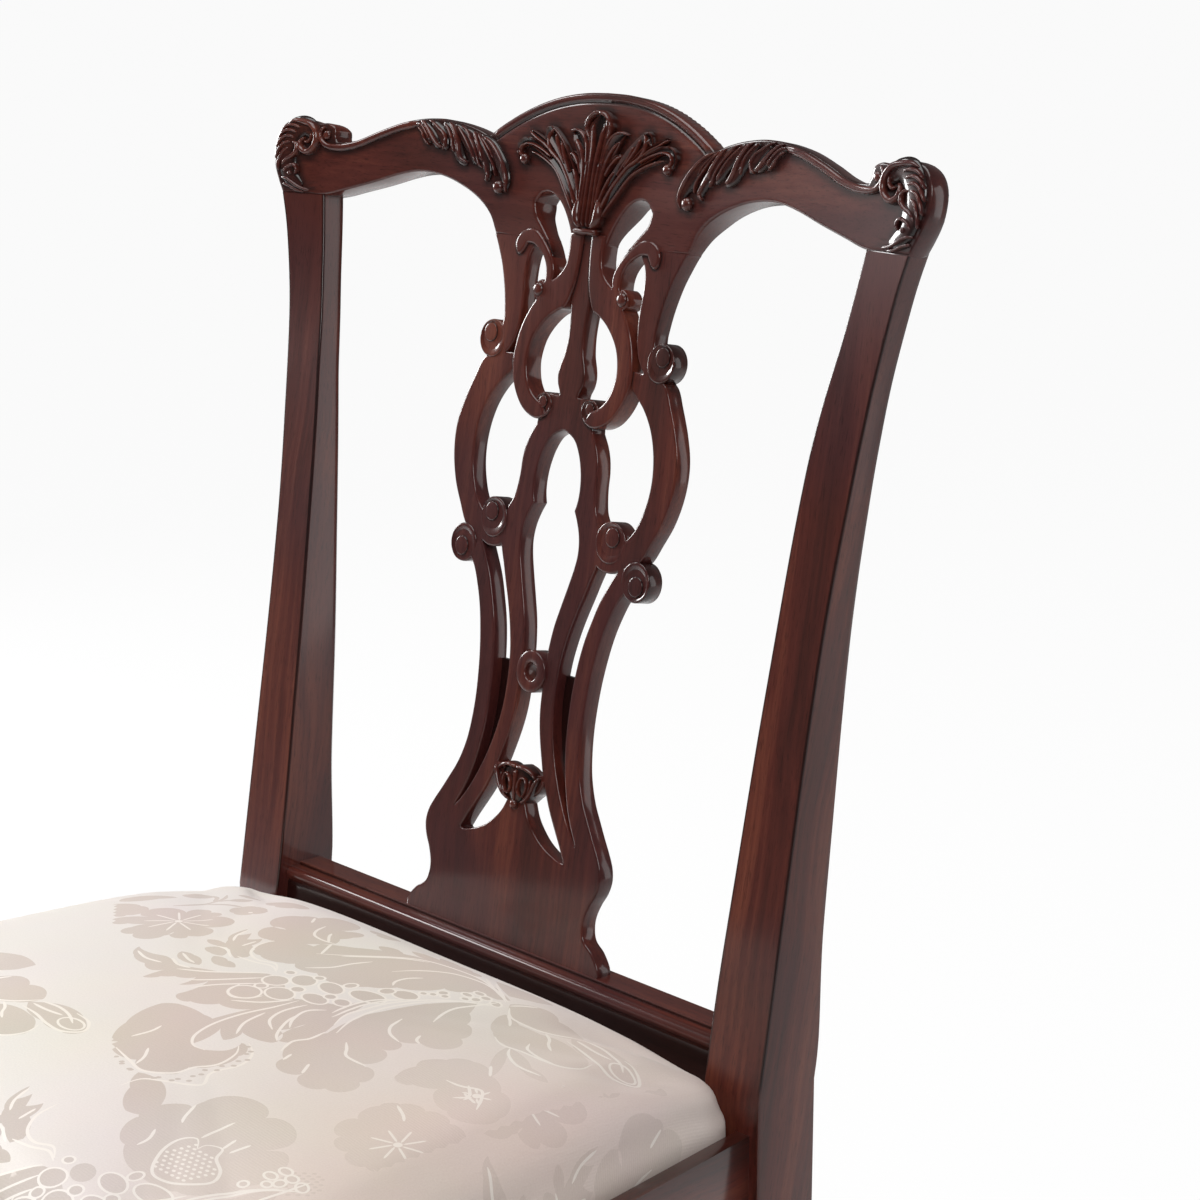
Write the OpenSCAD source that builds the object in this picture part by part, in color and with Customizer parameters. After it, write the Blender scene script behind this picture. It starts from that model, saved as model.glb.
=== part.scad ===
// Carved side chair with a pierced splat and a drop-in seat, in millimetres, +Z up.
// The sitter faces -Y. The floor is at z = 0 and the middle of the chair at x = 0.

/* [Overall] */
// Height of the crest's middle above the floor
chair_h = 1000; // [960:1:1040]
// Width of the crest over its ears
crest_w = 586; // [566:1:606]
// Width over the rear posts at the seat
rear_w = 503; // [488:1:518]
// Width over the front corners of the seat rails
front_w = 604; // [584:1:624]
// Depth from the posts' front faces to the front rail's face
seat_d = 420; // [400:1:440]

/* [Back] */
// Lean of the back, in degrees from upright
back_rake = 10.2; // [9:0.1:11.5]
// Width of the splat's foot
splat_w = 185; // [176:1:194]
// Thickness of the splat
splat_t = 12; // [11:0.5:14]
// Height that the proud bands of the splat stand above its face
band_lift = 1.5; // [1:0.1:2]
// Thickness of the web behind the splat's lower slots
web_t = 4; // [3:0.5:5]
// Setback of the splat's foot behind the posts' front faces
splat_set = 22; // [20.5:0.5:23]
// Radius of the crest's hollow front in plan
crest_r = 1420; // [1300:10:1550]
// Thickness of the crest
crest_t = 21; // [19:0.5:23]
// Thickness left square along the crest's top, in front of the bevelled back
crest_edge_t = 9; // [7:0.5:12]

/* [Rear posts] */
// Width of a post at the seat
post_w = 43.5; // [42:0.5:46]
// Depth of a post at the seat
post_d = 47; // [44:0.5:50]
// Depth of a post at its thinnest, under the crest
post_waist_d = 19; // [17:0.5:21]
// Height of the upright length of the posts above the rails
post_kink_h = 24; // [20:1:28]
// Width and depth of a rear foot
rear_foot_w = 36; // [34:0.5:40]
// How far the rear feet kick backwards
rear_kick = 65; // [50:1:75]

/* [Shoe] */
// Height of the shoe above the rails
shoe_h = 45; // [42:1:48]
// Width of the shoe's flat top behind the splat's face
shoe_back_d = 17; // [16:0.5:19]
// Radius of the bead along the shoe's front
bead_r = 4.5; // [4:0.1:5]

/* [Seat rails] */
// Height of the rails' top edge above the floor
rail_top_z = 430; // [420:1:440]
// Height of a rail
rail_h = 66; // [62:1:70]
// Thickness of the front and side rails
rail_t = 26; // [24:0.5:28]
// Thickness of the rear rail
rear_rail_t = 36; // [33:0.5:38]
// Width of the lip round the drop-in seat
lip_w = 10; // [9:0.5:11]
// Depth of the rebate that carries the seat
rebate_d = 12; // [11:0.5:13]
// Inset of the side rails from the posts' outer faces
post_reveal = 7; // [6:0.5:8]
// Thickness of the rails' tenons
tenon_t = 10; // [9:0.5:11]
// Length of the rails' tenons
tenon_l = 15; // [12:0.5:15.5]
// Depth of the ledger under the seat's rear edge
ledger_d = 20; // [18:0.5:22]
// Height of the ledger
ledger_h = 20; // [18:0.5:21]

/* [Front legs] */
// Width of a leg's square block at the rails
block_w = 48; // [46:0.5:52]
// How far the knee's middle stands out along the diagonal
knee_out = 16; // [12:0.5:18]
// Half width of the knee
knee_r = 27; // [26:0.5:28]
// Radius of the ankle
ankle_r = 14; // [13:0.5:16]
// Radius of the ball foot with its claws
foot_r = 33; // [31:0.5:34]
// How far the foot's middle stands out along the diagonal
foot_out = 10; // [7:0.5:12]
// Length of a knee bracket along its rail
bracket_l = 46; // [42:1:50]
// Drop of a knee bracket below its rail
bracket_h = 44; // [40:1:48]
// Thickness of a knee bracket
bracket_t = 24; // [22:0.5:26]

/* [Corner blocks] */
// Length of a corner block's legs along the rails
corner_l = 78; // [72:1:84]
// Height of a corner block
corner_h = 28; // [25:1:30]

/* [Drop-in seat] */
// Width of the seat frame's members
frame_w = 44; // [40:1:48]
// Thickness of the seat frame
frame_t = 18; // [16:0.5:19]
// Thickness of the cover cloth
cover_t = 1.2; // [1:0.1:1.4]
// Height of the pad's edge above the seat frame, midway between the corners
pad_edge_h = 40; // [36:0.5:43]
// How far the cushion dips from there to its corners
corner_dip = 10; // [6:0.5:14]
// How far the cushion's sides are drawn in between the corners
edge_pull = 2; // [0:0.5:4]
// Rise of the crown above the pad's edge
crown_h = 14; // [10:0.5:18]
// Gap between the seat's edge and the lip
edge_gap = 0.6; // [0.5:0.1:0.9]
// Gap between the seat's rear edge and the posts
rear_gap = 4; // [3:0.5:5]
// Width of a webbing strap
strap_w = 50; // [46:1:54]
// Thickness of a webbing strap
strap_t = 1.2; // [1:0.1:1.4]

/* [Fixings] */
// Diameter of the crest dowels
crest_dowel_d = 8; // [7:0.5:9]
// Length of the crest dowels
crest_dowel_l = 30; // [26:1:36]
// Diameter of the seat frame's dowels
frame_dowel_d = 7; // [6:0.5:8]
// Diameter of the rail pegs
peg_d = 6; // [5:0.5:7]
// Shank diameter of the wood screws
screw_d = 4; // [3.5:0.1:4.5]
// Head diameter of the wood screws
screw_head_d = 8; // [7.5:0.1:9]
// Diameter of a floor glide
glide_d = 24; // [20:0.5:26]
// Height of a floor glide
glide_h = 3; // [2.5:0.1:4]

/* [Hidden] */
fit = 0.2; // gap all round a glued joint
rest_gap = 0.3; // gap under the lift-out seat
layer_gap = 0.1; // gap between the seat's layers
smooth = 2; // steps between two points of a curve

wood = [0.30, 0.13, 0.09];
dark_wood = [0.22, 0.09, 0.07];
inner_wood = [0.72, 0.56, 0.38];
cloth = [0.85, 0.80, 0.73];
brass = [0.72, 0.58, 0.30];

// Heights
shoe_top_z = rail_top_z + shoe_h;
rail_low_z = rail_top_z - rail_h;
ledge_z = rail_top_z - rebate_d;
back_h = chair_h - shoe_top_z;
kink_z = rail_top_z + post_kink_h;

// The back's figure is drawn in millimetres for a back of this height and these widths
drawn_h = 525;
drawn_crest_w = 586;
drawn_splat_w = 185;
drawn_fixed_x = 100; // the splat's widths hold as far out as this, the crest's beyond
join_s = 434; // height of the joint between splat and crest
post_join_s = 450; // height of the joint between post and crest
inner_k = splat_w / drawn_splat_w;
outer_k = (crest_w / 2 - drawn_fixed_x * inner_k) / (drawn_crest_w / 2 - drawn_fixed_x);
function across(x) = abs(x) <= drawn_fixed_x ? x * inner_k
    : sign(x) * (drawn_fixed_x * inner_k + (abs(x) - drawn_fixed_x) * outer_k);
function along(s) = s * back_h / drawn_h / cos(back_rake);
function on_back(p) = [for (q = p) [across(q.x), along(q.y)]];

// Smooth curve through a list of points
function point(p, i) = p[max(0, min(len(p) - 1, i))];
function blend(a, b, c, d, t) = 0.5 * (2 * b + (c - a) * t + (2 * a - 5 * b + 4 * c - d) * t * t
    + (3 * b - a - 3 * c + d) * t * t * t);
function curve(p) = [for (i = [0:len(p) - 2]) for (k = [0:smooth - 1])
    blend(point(p, i - 1), point(p, i), point(p, i + 1), point(p, i + 2), k / smooth),
    p[len(p) - 1]];
function backwards(p) = [for (i = [len(p) - 1:-1:0]) p[i]];
function mirrored(p) = [for (q = backwards(p)) [-q.x, q.y]];

// Places on the back
post_join_z = shoe_top_z + post_join_s * back_h / drawn_h;
post_top_out = crest_w / 2 - 14;
post_top_in = crest_w / 2 - 48;
post_top_x = (post_top_out + post_top_in) / 2;
function splat_y(z) = splat_set + (z - shoe_top_z) * tan(back_rake);
function hollow(x) = x * x / (2 * crest_r);
post_top_y = splat_y(post_join_z) - hollow(post_top_x) / cos(back_rake);

// Plan of the rails: the outer line of the right side rail, and the seat well inside the lip
rail_rear_x = rear_w / 2 - post_reveal;
splay = atan((front_w / 2 - rail_rear_x) / seat_d);
function side_x(y, inset = 0) = rail_rear_x - y * tan(splay) - inset / cos(splay);
block_rear_y = -seat_d + block_w * cos(splay);
block_in_x = front_w / 2 - block_w;
block_x = front_w / 2 - block_w / 2 - block_w * sin(splay) / 2;
block_y = (block_rear_y - seat_d) / 2;
post_in_x = rear_w / 2 - post_w;
diagonal = sqrt(0.5);

// The whole chair is centred front to back on its outermost points
back_y = splat_set + along(drawn_h) * sin(back_rake) + crest_t * cos(back_rake);
front_y = block_y - foot_out * diagonal - foot_r;
centre_y = -(back_y + front_y) / 2;
module placed() translate([0, centre_y, 0]) children();
module both_sides() { children(); mirror([1, 0, 0]) children(); }
module turned_up(side) if (side < 0) mirror([1, 0, 0]) children(); else children();

// Local frame of the leaning back: x across, y up the splat, z towards the sitter
module on_the_back() translate([0, splat_set, shoe_top_z]) rotate([90 - back_rake, 0, 0]) children();
module back_plate(low, high) translate([0, 0, low]) linear_extrude(high - low) children();
module outline(p) polygon(on_back(p));
module strap(outer, inner) outline(concat(curve(outer), backwards(curve(inner))));
module knob(p, r) translate([across(p.x), along(p.y)]) circle(r, $fn = 48);

// Splat, right half, as points on its front face: across and up from the shoe
foot_edge = [[92.5, 0], [91.5, 6], [85, 13.5], [77, 19], [74.3, 26], [74.5, 33], [77.5, 41],
    [82, 49], [84, 57], [82.5, 65], [78, 73]];
foot_top = [[52, 64], [48, 60.5], [37, 63], [27, 67.5], [19, 73.5], [12.5, 80.5], [8, 89], [4, 96]];
outer_low_out = [[84, 57], [82.5, 65], [78, 73], [72.5, 81], [67, 89.5], [61, 99], [56.5, 109],
    [53.3, 120], [51.3, 135], [50.8, 150], [51.8, 168], [54, 184], [57.5, 200], [62, 213],
    [68, 225.5], [74, 232]];
outer_low_in = [[63, 62], [58, 73], [51.5, 84], [46.5, 95], [42.3, 108], [39.5, 121],
    [37.7, 135], [37.2, 150], [37.6, 165], [39.3, 181], [42.3, 196], [46.5, 209], [51.5, 222],
    [57.5, 233], [64, 243], [72, 249]];
inner_low_in = [[53, 56], [49.5, 61], [44, 70], [37.5, 79.5], [31, 89.5], [25.5, 100], [21, 110],
    [17.5, 120], [14.4, 130], [11.9, 141], [10.7, 152], [10.6, 165], [10.8, 178], [11.6, 188],
    [13.8, 201], [17.6, 214], [22, 228], [25.4, 240], [26.6, 249], [25.5, 258], [22.5, 266],
    [18.7, 273]];
inner_low_out = [[62, 66], [58, 73], [53, 78.5], [47, 86.5], [41.5, 95.5], [36, 106],
    [31.5, 116.5], [27.6, 128], [24.6, 140], [23, 154], [22.9, 168], [23.9, 180], [26, 190.5],
    [28.7, 200.5], [32.3, 211], [36.6, 222], [40.3, 232], [44, 241.5], [46, 252], [44, 263],
    [41, 269]];
arch_in = [[18.7, 273], [20.5, 280], [20.8, 288], [19.5, 297], [16, 307], [10, 315.5], [0, 320.5]];
arch_out = [[44, 266], [41, 270], [38, 275], [36.3, 282], [35.3, 290], [35, 299], [33, 308.5],
    [28.5, 317.5], [20, 327], [0, 336]];
husk = [[0, 111.5], [5, 110.5], [10, 108.5], [15, 108], [22, 109], [23, 104], [20, 98],
    [14.5, 94], [10, 90], [5, 86], [0, 84]];
spindle = [[8.5, 398], [7.2, 385], [7.2, 376], [8.5, 367], [11, 360], [12.2, 354], [11.3, 348],
    [8.7, 342.5], [8.7, 336]];
saddle = [[26, 320], [24, 334], [20, 341], [-20, 341], [-24, 334], [-26, 320]];
eye_out = [[15.8, 440], [15.3, 428], [16.8, 420], [22, 413.5], [30, 408], [37, 400.5], [43, 393],
    [48, 385], [51.7, 376], [54, 366], [54.5, 356], [52, 346], [46.8, 336.5], [39.5, 329],
    [31, 325], [24, 324.5], [18, 327]];
eye_in = [[-2, 440], [-2, 398], [9, 394.5], [17, 392.5], [25, 388], [32.5, 381], [37.7, 373.5],
    [40.5, 365], [41, 357], [38.7, 348], [34.5, 341.5], [29, 337], [22, 334]];
loop_out = [[74, 362], [84, 356], [90, 345], [97, 330], [101.5, 316], [102.6, 303],
    [100.7, 289], [96, 275], [89, 262.5], [83, 252.5], [76, 246]];
loop_in = [[50, 362], [56, 351], [67, 341], [75, 330], [80, 317.5], [82.2, 304.5],
    [81.8, 292.5], [79, 281], [74, 270], [66.5, 262], [56, 257]];
neck = [[41, 262], [43, 246], [47.5, 241.5], [57, 240.5], [64, 243], [74, 248], [80, 256],
    [66, 262], [55, 268]];
outer_top_out = [[94, 445], [89.7, 437], [86.5, 432], [82.5, 425], [77.5, 415], [73, 402],
    [70.5, 391], [69.5, 382], [72, 372]];
outer_top_in = [[44, 445], [48, 431], [52.6, 423], [54, 411], [53, 400], [53, 388], [54.5, 377],
    [58.5, 367.5], [65, 361], [76, 359]];
scroll_out = [[66.5, 431], [65, 437], [58, 440.3], [50.5, 438.8], [44, 434.8], [37.5, 428],
    [33, 420], [30.4, 411], [30.5, 404]];
scroll_in = [[57, 430], [58, 433], [54, 433.3], [49, 431], [43.5, 426], [39.6, 419], [37.6, 412],
    [37, 405]];
kidney = [[53, 456], [49, 461], [43, 463], [35, 461], [28, 455.5], [21, 446], [16.2, 436],
    [15.2, 428], [16.6, 420], [20.5, 414.6], [25, 414.2], [28.2, 417], [31, 425], [36, 433],
    [43.5, 441], [50.5, 448.5], [53, 456]];
outer_volute = [77.8, 370.5];
inner_volute = [21.3, 334];
upper_volute = [54.5, 259];
lower_volute = [80.3, 239];
scroll_volute = [37.3, 405];
ring_centre = [0, 170.3];

module proud_half() {
    strap(eye_out, eye_in);
    strap(scroll_out, scroll_in);
    knob(scroll_volute, 6.6);
    knob(inner_volute, 7.6);
    knob(outer_volute, 11.2);
    knob(upper_volute, 12.8);
    knob(lower_volute, 12);
}

module low_half() {
    outline(concat(curve(foot_edge), [[58, 73]], curve(foot_top), [[0, 96], [0, 0]]));
    strap(outer_low_out, outer_low_in);
    strap(inner_low_out, inner_low_in);
    strap(arch_out, arch_in);
    strap(loop_out, loop_in);
    strap(outer_top_out, outer_top_in);
    outline(concat(curve(husk), [[-1, 84], [-1, 111.5]]));
    outline(concat(curve(spindle), [[-1, 336], [-1, 398]]));
    outline(saddle);
    outline(curve(neck));
}

module splat_holes() {
    knob(ring_centre, 5.5);
    both_sides() outline(curve(kidney));
}

module below_join() translate([-150, -1]) square([300, along(join_s) + 1]);

module proud_figure() intersection() {
    offset(delta = 0.01) difference() {
        union() { both_sides() proud_half(); knob(ring_centre, 13.2); }
        splat_holes();
    }
    below_join();
}

module splat_figure() intersection() {
    offset(delta = 0.01) difference() {
        union() { both_sides() { proud_half(); low_half(); } knob(ring_centre, 13.2); }
        splat_holes();
    }
    below_join();
}

// The straps' middle lines bound the web, so it runs into both of them
module slot_web() both_sides() outline(concat(
    curve([[66, 73], [52, 95], [46, 121], [44, 150], [45, 172]]),
    curve([[17, 172], [17, 152], [21, 128], [30, 106], [44, 84], [56, 68]])));

// Tenons at the splat's head, each its middle and half its width, and the long one at its foot
head_tenons = [[0, 9], [67, 11]];
head_tenon_l = 14;
head_tenon_t = 6;
foot_tenon_w = splat_w - 24;
foot_tenon_l = 24;
foot_tenon_t = 8;

module splat_tenons(gap = 0) {
    low = -(splat_t + head_tenon_t) / 2 - gap;
    both_sides() for (t = head_tenons)
        translate([across(t[0]) - t[1] - gap, along(join_s) - 1, low])
            cube([2 * (t[1] + gap), head_tenon_l + 1 + gap, head_tenon_t + 2 * gap]);
    translate([-foot_tenon_w / 2 - gap, -foot_tenon_l - gap, -(splat_t + foot_tenon_t) / 2 - gap])
        cube([foot_tenon_w + 2 * gap, foot_tenon_l + 1 + gap, foot_tenon_t + 2 * gap]);
}

// The splat's foot is cut level to sit on the shoe
module above_shoe() translate([-300, -100, shoe_top_z]) cube([600, 400, 600]);

module splat() placed() color(wood) {
    intersection() {
        on_the_back() {
            back_plate(-splat_t, 0) splat_foot();
            back_plate(-splat_t, 0) splat_figure();
            back_plate(-splat_t + 1, band_lift) proud_figure();
            back_plate(-splat_t, -splat_t + web_t) slot_web();
        }
        above_shoe();
    }
    on_the_back() splat_tenons();
}

// The foot runs on below the level cut
foot_below = 4;
module splat_foot() translate([-splat_w / 2, -foot_below]) square([splat_w, foot_below + 1]);

// Crest, right half, in the same frame
arch_top = [[0, 525], [20, 524.3], [40, 521.5], [58, 516.7], [75, 510], [91, 501.8], [101.5, 495]];
wing_top = [[101.5, 495], [112, 498.7], [125, 501.8], [140, 503.8], [152, 504], [166, 503],
    [182, 500], [200, 494.3], [216, 488.5], [228, 485.8], [238, 485.5]];
ear = [[240, 489], [241, 494.5], [247, 497.3], [257, 497.2], [267, 499.3], [277, 499.5],
    [286, 496], [291.5, 488.5], [293, 479], [291.3, 468], [287, 458], [283, 449], [280, 438]];
crest_low = [[237, 451.5], [225, 454.5], [202, 460.2], [182, 465.8], [166, 469], [152, 469.4],
    [138, 467.6], [125, 464], [112, 458.6], [102, 452.6], [94.5, 445.5], [89, 437.5],
    [86.5, 434]];
back_cut_s = 452; // below this height the crest's back is cut down to the splat's thickness

// The hollow brings the rail forwards, which on the lean also lifts it, so its outline is drawn lower
function on_crest(p) = [for (q = on_back(p)) [q.x, q.y - hollow(q.x) * tan(back_rake)]];
module crest_half() polygon(on_crest(concat(curve(arch_top), curve(wing_top), curve(ear),
    [[237, 438]], curve(crest_low), [[86.5, join_s], [-1, join_s], [-1, 525]])));

// Bevel along the back of the top edge, at this slope
bevel_a = 38;
module bevelled_back() {
    top = on_crest(concat(curve(arch_top), curve(wing_top), curve(ear)));
    high = [for (q = top) if (q.y > along(470)) [q.x,
        q.y * cos(bevel_a) - hollow(q.x) * sin(bevel_a) + crest_edge_t * sin(bevel_a)]];
    right = concat(high, [[400, along(470) * cos(bevel_a)], [400, 0], [0, 0]]);
    rotate([-bevel_a, 0, 0]) translate([0, 0, -100]) linear_extrude(back_h + 100) polygon(right);
}

module crest_figure() difference() {
    offset(delta = 0.01) difference() {
        both_sides() crest_half();
        both_sides() outline(curve(kidney));
    }
    below_join();
}

module hollow_band() translate([0, along(join_s) - 20, crest_r]) rotate([-90, 0, 0])
    difference() {
        cylinder(r = crest_r + crest_t, h = along(drawn_h), $fn = 96);
        translate([0, 0, -1]) cylinder(r = crest_r, h = along(drawn_h) + 2, $fn = 96);
    }

module crest_dowel_places() on_the_back() both_sides()
    for (x = [crest_dowel_in + crest_dowel_edge, crest_dowel_out - crest_dowel_edge])
        translate([x, along(post_join_s) - crest_dowel_n * tan(back_rake), crest_dowel_n])
            rotate([-90, 0, 0]) children();

module crest_dowel(gap) translate([0, 0, -crest_dowel_l / 2 - gap])
    cylinder(d = crest_dowel_d + 2 * gap, h = crest_dowel_l + 2 * gap, $fn = 32);

module crest_rail() placed() color(wood) difference() {
    on_the_back() intersection() {
        back_plate(-crest_t - 10, crest_t + 40) crest_figure();
        hollow_band();
        both_sides() bevelled_back();
    }
    on_the_back() translate([-150, along(join_s) - 5, -splat_t - 60])
        cube([300, along(back_cut_s) - along(join_s) + 5, 60]);
    on_the_back() splat_tenons(fit);
    both_sides() translate([post_in_x, -100, rail_top_z]) cube([200, 400, post_join_z - rail_top_z]);
    crest_dowel_places() crest_dowel(fit);
}

module crest_dowels() placed() color(inner_wood) crest_dowel_places() crest_dowel(0);

// Rear posts: sawn to a side outline and a front outline, like the real ones
depth_share = [[0, 1], [0.05, 0.98], [0.18, 0.76], [0.35, 0.56], [0.52, 0.34], [0.69, 0.13],
    [0.78, 0.05], [0.87, 0.01], [1, 0.04]];
outer_flare = [[0, 0], [0.35, 0], [0.52, 0.045], [0.61, 0.11], [0.69, 0.2], [0.78, 0.29],
    [0.86, 0.43], [0.95, 0.68], [1, 0.95]];
inner_flare = [[0, 0], [0.06, 0], [0.14, 0.03], [0.27, 0.11], [0.4, 0.18], [0.52, 0.27],
    [0.65, 0.37], [0.74, 0.47], [0.82, 0.59], [0.9, 0.77], [1, 0.97]];
post_h = post_join_z - kink_z;
leg_steps = 8;
post_foot_z = glide_h;
foot_inset = 3;
function upper_z(t) = kink_z + t * post_h;
function kick(q) = rear_kick * pow(1 - q, 1.6);
function leg_depth(q) = rear_foot_w + (post_d - rear_foot_w) * q;
leg_front = [for (i = [0:leg_steps]) let (q = i / leg_steps)
    [kick(q) + (post_d - leg_depth(q)) * 0.35, post_foot_z + (rail_low_z - post_foot_z) * q]];
leg_back = [for (i = [0:leg_steps]) let (q = i / leg_steps)
    [leg_front[i].x + leg_depth(q), leg_front[i].y]];
post_front = [[0, kink_z], [post_top_y, post_join_z]];
post_back = [for (c = curve(depth_share))
    [post_top_y * c.x + post_waist_d + (post_d - post_waist_d) * c.y, upper_z(c.x)]];
post_outer = [for (c = curve(outer_flare))
    [rear_w / 2 + (post_top_out - rear_w / 2) * c.y, upper_z(c.x)]];
post_inner = [for (c = curve(inner_flare))
    [post_in_x + (post_top_in - post_in_x) * max(0, c.y), upper_z(c.x)]];

// Two dowels join a post to the crest, inside the post's flared sides
crest_dowel_wall = 2; // least wood beside a dowel
crest_dowel_n = hollow(post_top_x) - post_waist_d / 2;
crest_dowel_t = 1 - crest_dowel_l / 2 / (post_join_z - kink_z); // share of the post's height at a dowel's foot
crest_dowel_out = min(post_top_out, rear_w / 2
    + (post_top_out - rear_w / 2) * lookup(crest_dowel_t, outer_flare));
crest_dowel_in = max(post_top_in, post_in_x
    + (post_top_in - post_in_x) * lookup(crest_dowel_t, inner_flare));
crest_dowel_edge = crest_dowel_wall + crest_dowel_d / 2;

module post_body() intersection() {
    translate([100, 0, 0]) rotate([90, 0, 90]) linear_extrude(300)
        polygon(concat(leg_front, post_front, backwards(post_back), backwards(leg_back)));
    translate([0, 250, 0]) rotate([90, 0, 0]) linear_extrude(350)
        polygon(concat([[rear_w / 2 - foot_inset - rear_foot_w, post_foot_z], [post_in_x, rail_low_z]],
            post_inner, backwards(post_outer),
            [[rear_w / 2, rail_low_z], [rear_w / 2 - foot_inset, post_foot_z]]));
}

// Tenons of the rails, for the right-hand joints
tenon_rise = 6; // from the rail's lower edge
tenon_h = rail_h - rebate_d - 2 * tenon_rise;
tenon_z = rail_low_z + tenon_rise;
side_tenon_in = (rail_t - tenon_t) / 2;
rear_tenon_y = 14;

module side_tenons(gap = 0) translate([0, 0, tenon_z - gap]) linear_extrude(tenon_h + 2 * gap)
    polygon([for (p = [[tenon_l + gap, side_tenon_in - gap],
            [tenon_l + gap, side_tenon_in + tenon_t + gap],
            [block_rear_y - tenon_l - gap, side_tenon_in + tenon_t + gap],
            [block_rear_y - tenon_l - gap, side_tenon_in - gap]])
        [side_x(p[0], p[1]), p[0]]]);

module rear_tenon(gap = 0)
    translate([post_in_x - 1 - gap, rear_tenon_y - gap, tenon_z - gap])
        cube([tenon_l + 1 + 2 * gap, tenon_t + 2 * gap, tenon_h + 2 * gap]);

front_tenon_root = rail_t * tan(splay) + 1;
module front_tenon(gap = 0)
    translate([block_in_x - front_tenon_root - gap, -seat_d + side_tenon_in - gap, tenon_z - gap])
        cube([tenon_l + front_tenon_root + 2 * gap, tenon_t + 2 * gap, tenon_h + 2 * gap]);

// Pegs through the tenons: from the posts' inner faces and the blocks' inner corner
peg_l = 30;
peg_edge = 10; // from a tenon's upper and lower edges
peg_z = [tenon_z + peg_edge, tenon_z + tenon_h - peg_edge];

module peg_holes_post(gap) for (z = peg_z)
    translate([side_x(tenon_l / 2, side_tenon_in + tenon_t / 2) + peg_l / 2 + gap, tenon_l / 2, z])
        rotate([0, -90, 0]) cylinder(d = peg_d + 2 * gap, h = peg_l + 2 * gap, $fn = 32);

module glide_places() {
    both_sides() {
        translate([rear_w / 2 - foot_inset - rear_foot_w / 2,
            leg_front[0].x + rear_foot_w / 2, 0]) children();
        translate([block_x + foot_out * diagonal, block_y - foot_out * diagonal, 0]) children();
    }
}
glide_pin_d = 5;
glide_pin_l = 14;
module glide_pin(gap) translate([0, 0, glide_h / 2])
    cylinder(d = glide_pin_d + 2 * gap, h = glide_pin_l + gap, $fn = 24);

module rear_post(side) placed() color(wood) turned_up(side) difference() {
    post_body();
    side_tenons(fit);
    rear_tenon(fit);
    crest_dowel_places() crest_dowel(fit);
    peg_holes_post(fit);
    glide_places() glide_pin(fit);
}
module rear_post_left() rear_post(-1);
module rear_post_right() rear_post(1);

// Shoe: flat top behind the splat's face, a step, a bead and a hollow down to the rail
shoe_step = 2;
shoe_front_y = 2;
bead_y = splat_set - 3.5 - bead_r;
bead_z = shoe_top_z - shoe_step - bead_r + 0.5;
shoe_back_y = splat_set + shoe_back_d;
cove = [[bead_y - bead_r + 1.2, bead_z - bead_r + 0.8], [bead_y - 2.5, bead_z - bead_r - 5],
    [bead_y - 4, bead_z - bead_r - 12], [shoe_front_y + 1, rail_top_z + 14],
    [shoe_front_y, rail_top_z + 8]];
bead_arc = [for (a = [80:15:215]) [bead_y + bead_r * cos(a), bead_z + bead_r * sin(a)]];
shoe_outline = concat([[shoe_back_y, rail_top_z], [shoe_back_y, shoe_top_z],
    [splat_set - 1, shoe_top_z], [splat_set - 1, shoe_top_z - shoe_step]], bead_arc, curve(cove),
    [[shoe_front_y, rail_top_z]]);
shoe_screw_x = 150;
shoe_screw_y = splat_set + 5;

module shoe() placed() color(wood) difference() {
    translate([-post_in_x, 0, 0]) rotate([90, 0, 90]) linear_extrude(2 * post_in_x)
        polygon(shoe_outline);
    on_the_back() splat_tenons(fit);
    shoe_screw_places() screw(fit);
}

// Wood screw with its head at the origin, pointing up
screw_l = 38;
screw_head_h = 3;
module screw(gap = 0) {
    translate([0, 0, -gap]) cylinder(d = screw_head_d + 2 * gap, h = screw_head_h + gap, $fn = 32);
    cylinder(d = screw_d + 2 * gap, h = screw_l + gap, $fn = 32);
}
shoe_screw_deep = 22; // the head sits in a counterbore under the rear rail
module shoe_screw_places() for (x = [-shoe_screw_x, shoe_screw_x])
    translate([x, shoe_screw_y, rail_top_z - shoe_screw_deep]) children();
module shoe_screws() placed() color(brass) shoe_screw_places() screw();

module rear_rail() placed() color(wood) difference() {
    union() {
        translate([-post_in_x, 0, rail_low_z]) cube([2 * post_in_x, rear_rail_t, rail_h]);
        both_sides() rear_tenon();
    }
    shoe_screw_places() {
        screw(fit);
        translate([0, 0, -rail_h]) cylinder(d = screw_head_d + 2 * fit, h = rail_h, $fn = 32);
    }
    ledger_screw_places() screw(fit);
    rear_block_screws() screw(fit);
}

// Ledger under the seat's rear edge, screwed to the rear rail
ledger_gap = 14; // between the ledger's ends and the side rails
ledger_half = side_x(-ledger_d, rail_t) - ledger_gap;
ledger_z = ledge_z - ledger_h;
module ledger_screw_places() for (x = [-0.6, 0, 0.6] * ledger_half)
    translate([x, -ledger_d + 1, ledger_z + ledger_h / 2]) rotate([-90, 0, 0]) children();
module seat_ledger() placed() color(inner_wood) difference() {
    translate([-ledger_half, -ledger_d, ledger_z]) cube([2 * ledger_half, ledger_d, ledger_h]);
    ledger_screw_places() { screw(fit); translate([0, 0, -5]) cylinder(d = screw_head_d + 2 * fit, h = 6); }
}
module ledger_screws() placed() color(brass) ledger_screw_places() screw();

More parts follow.
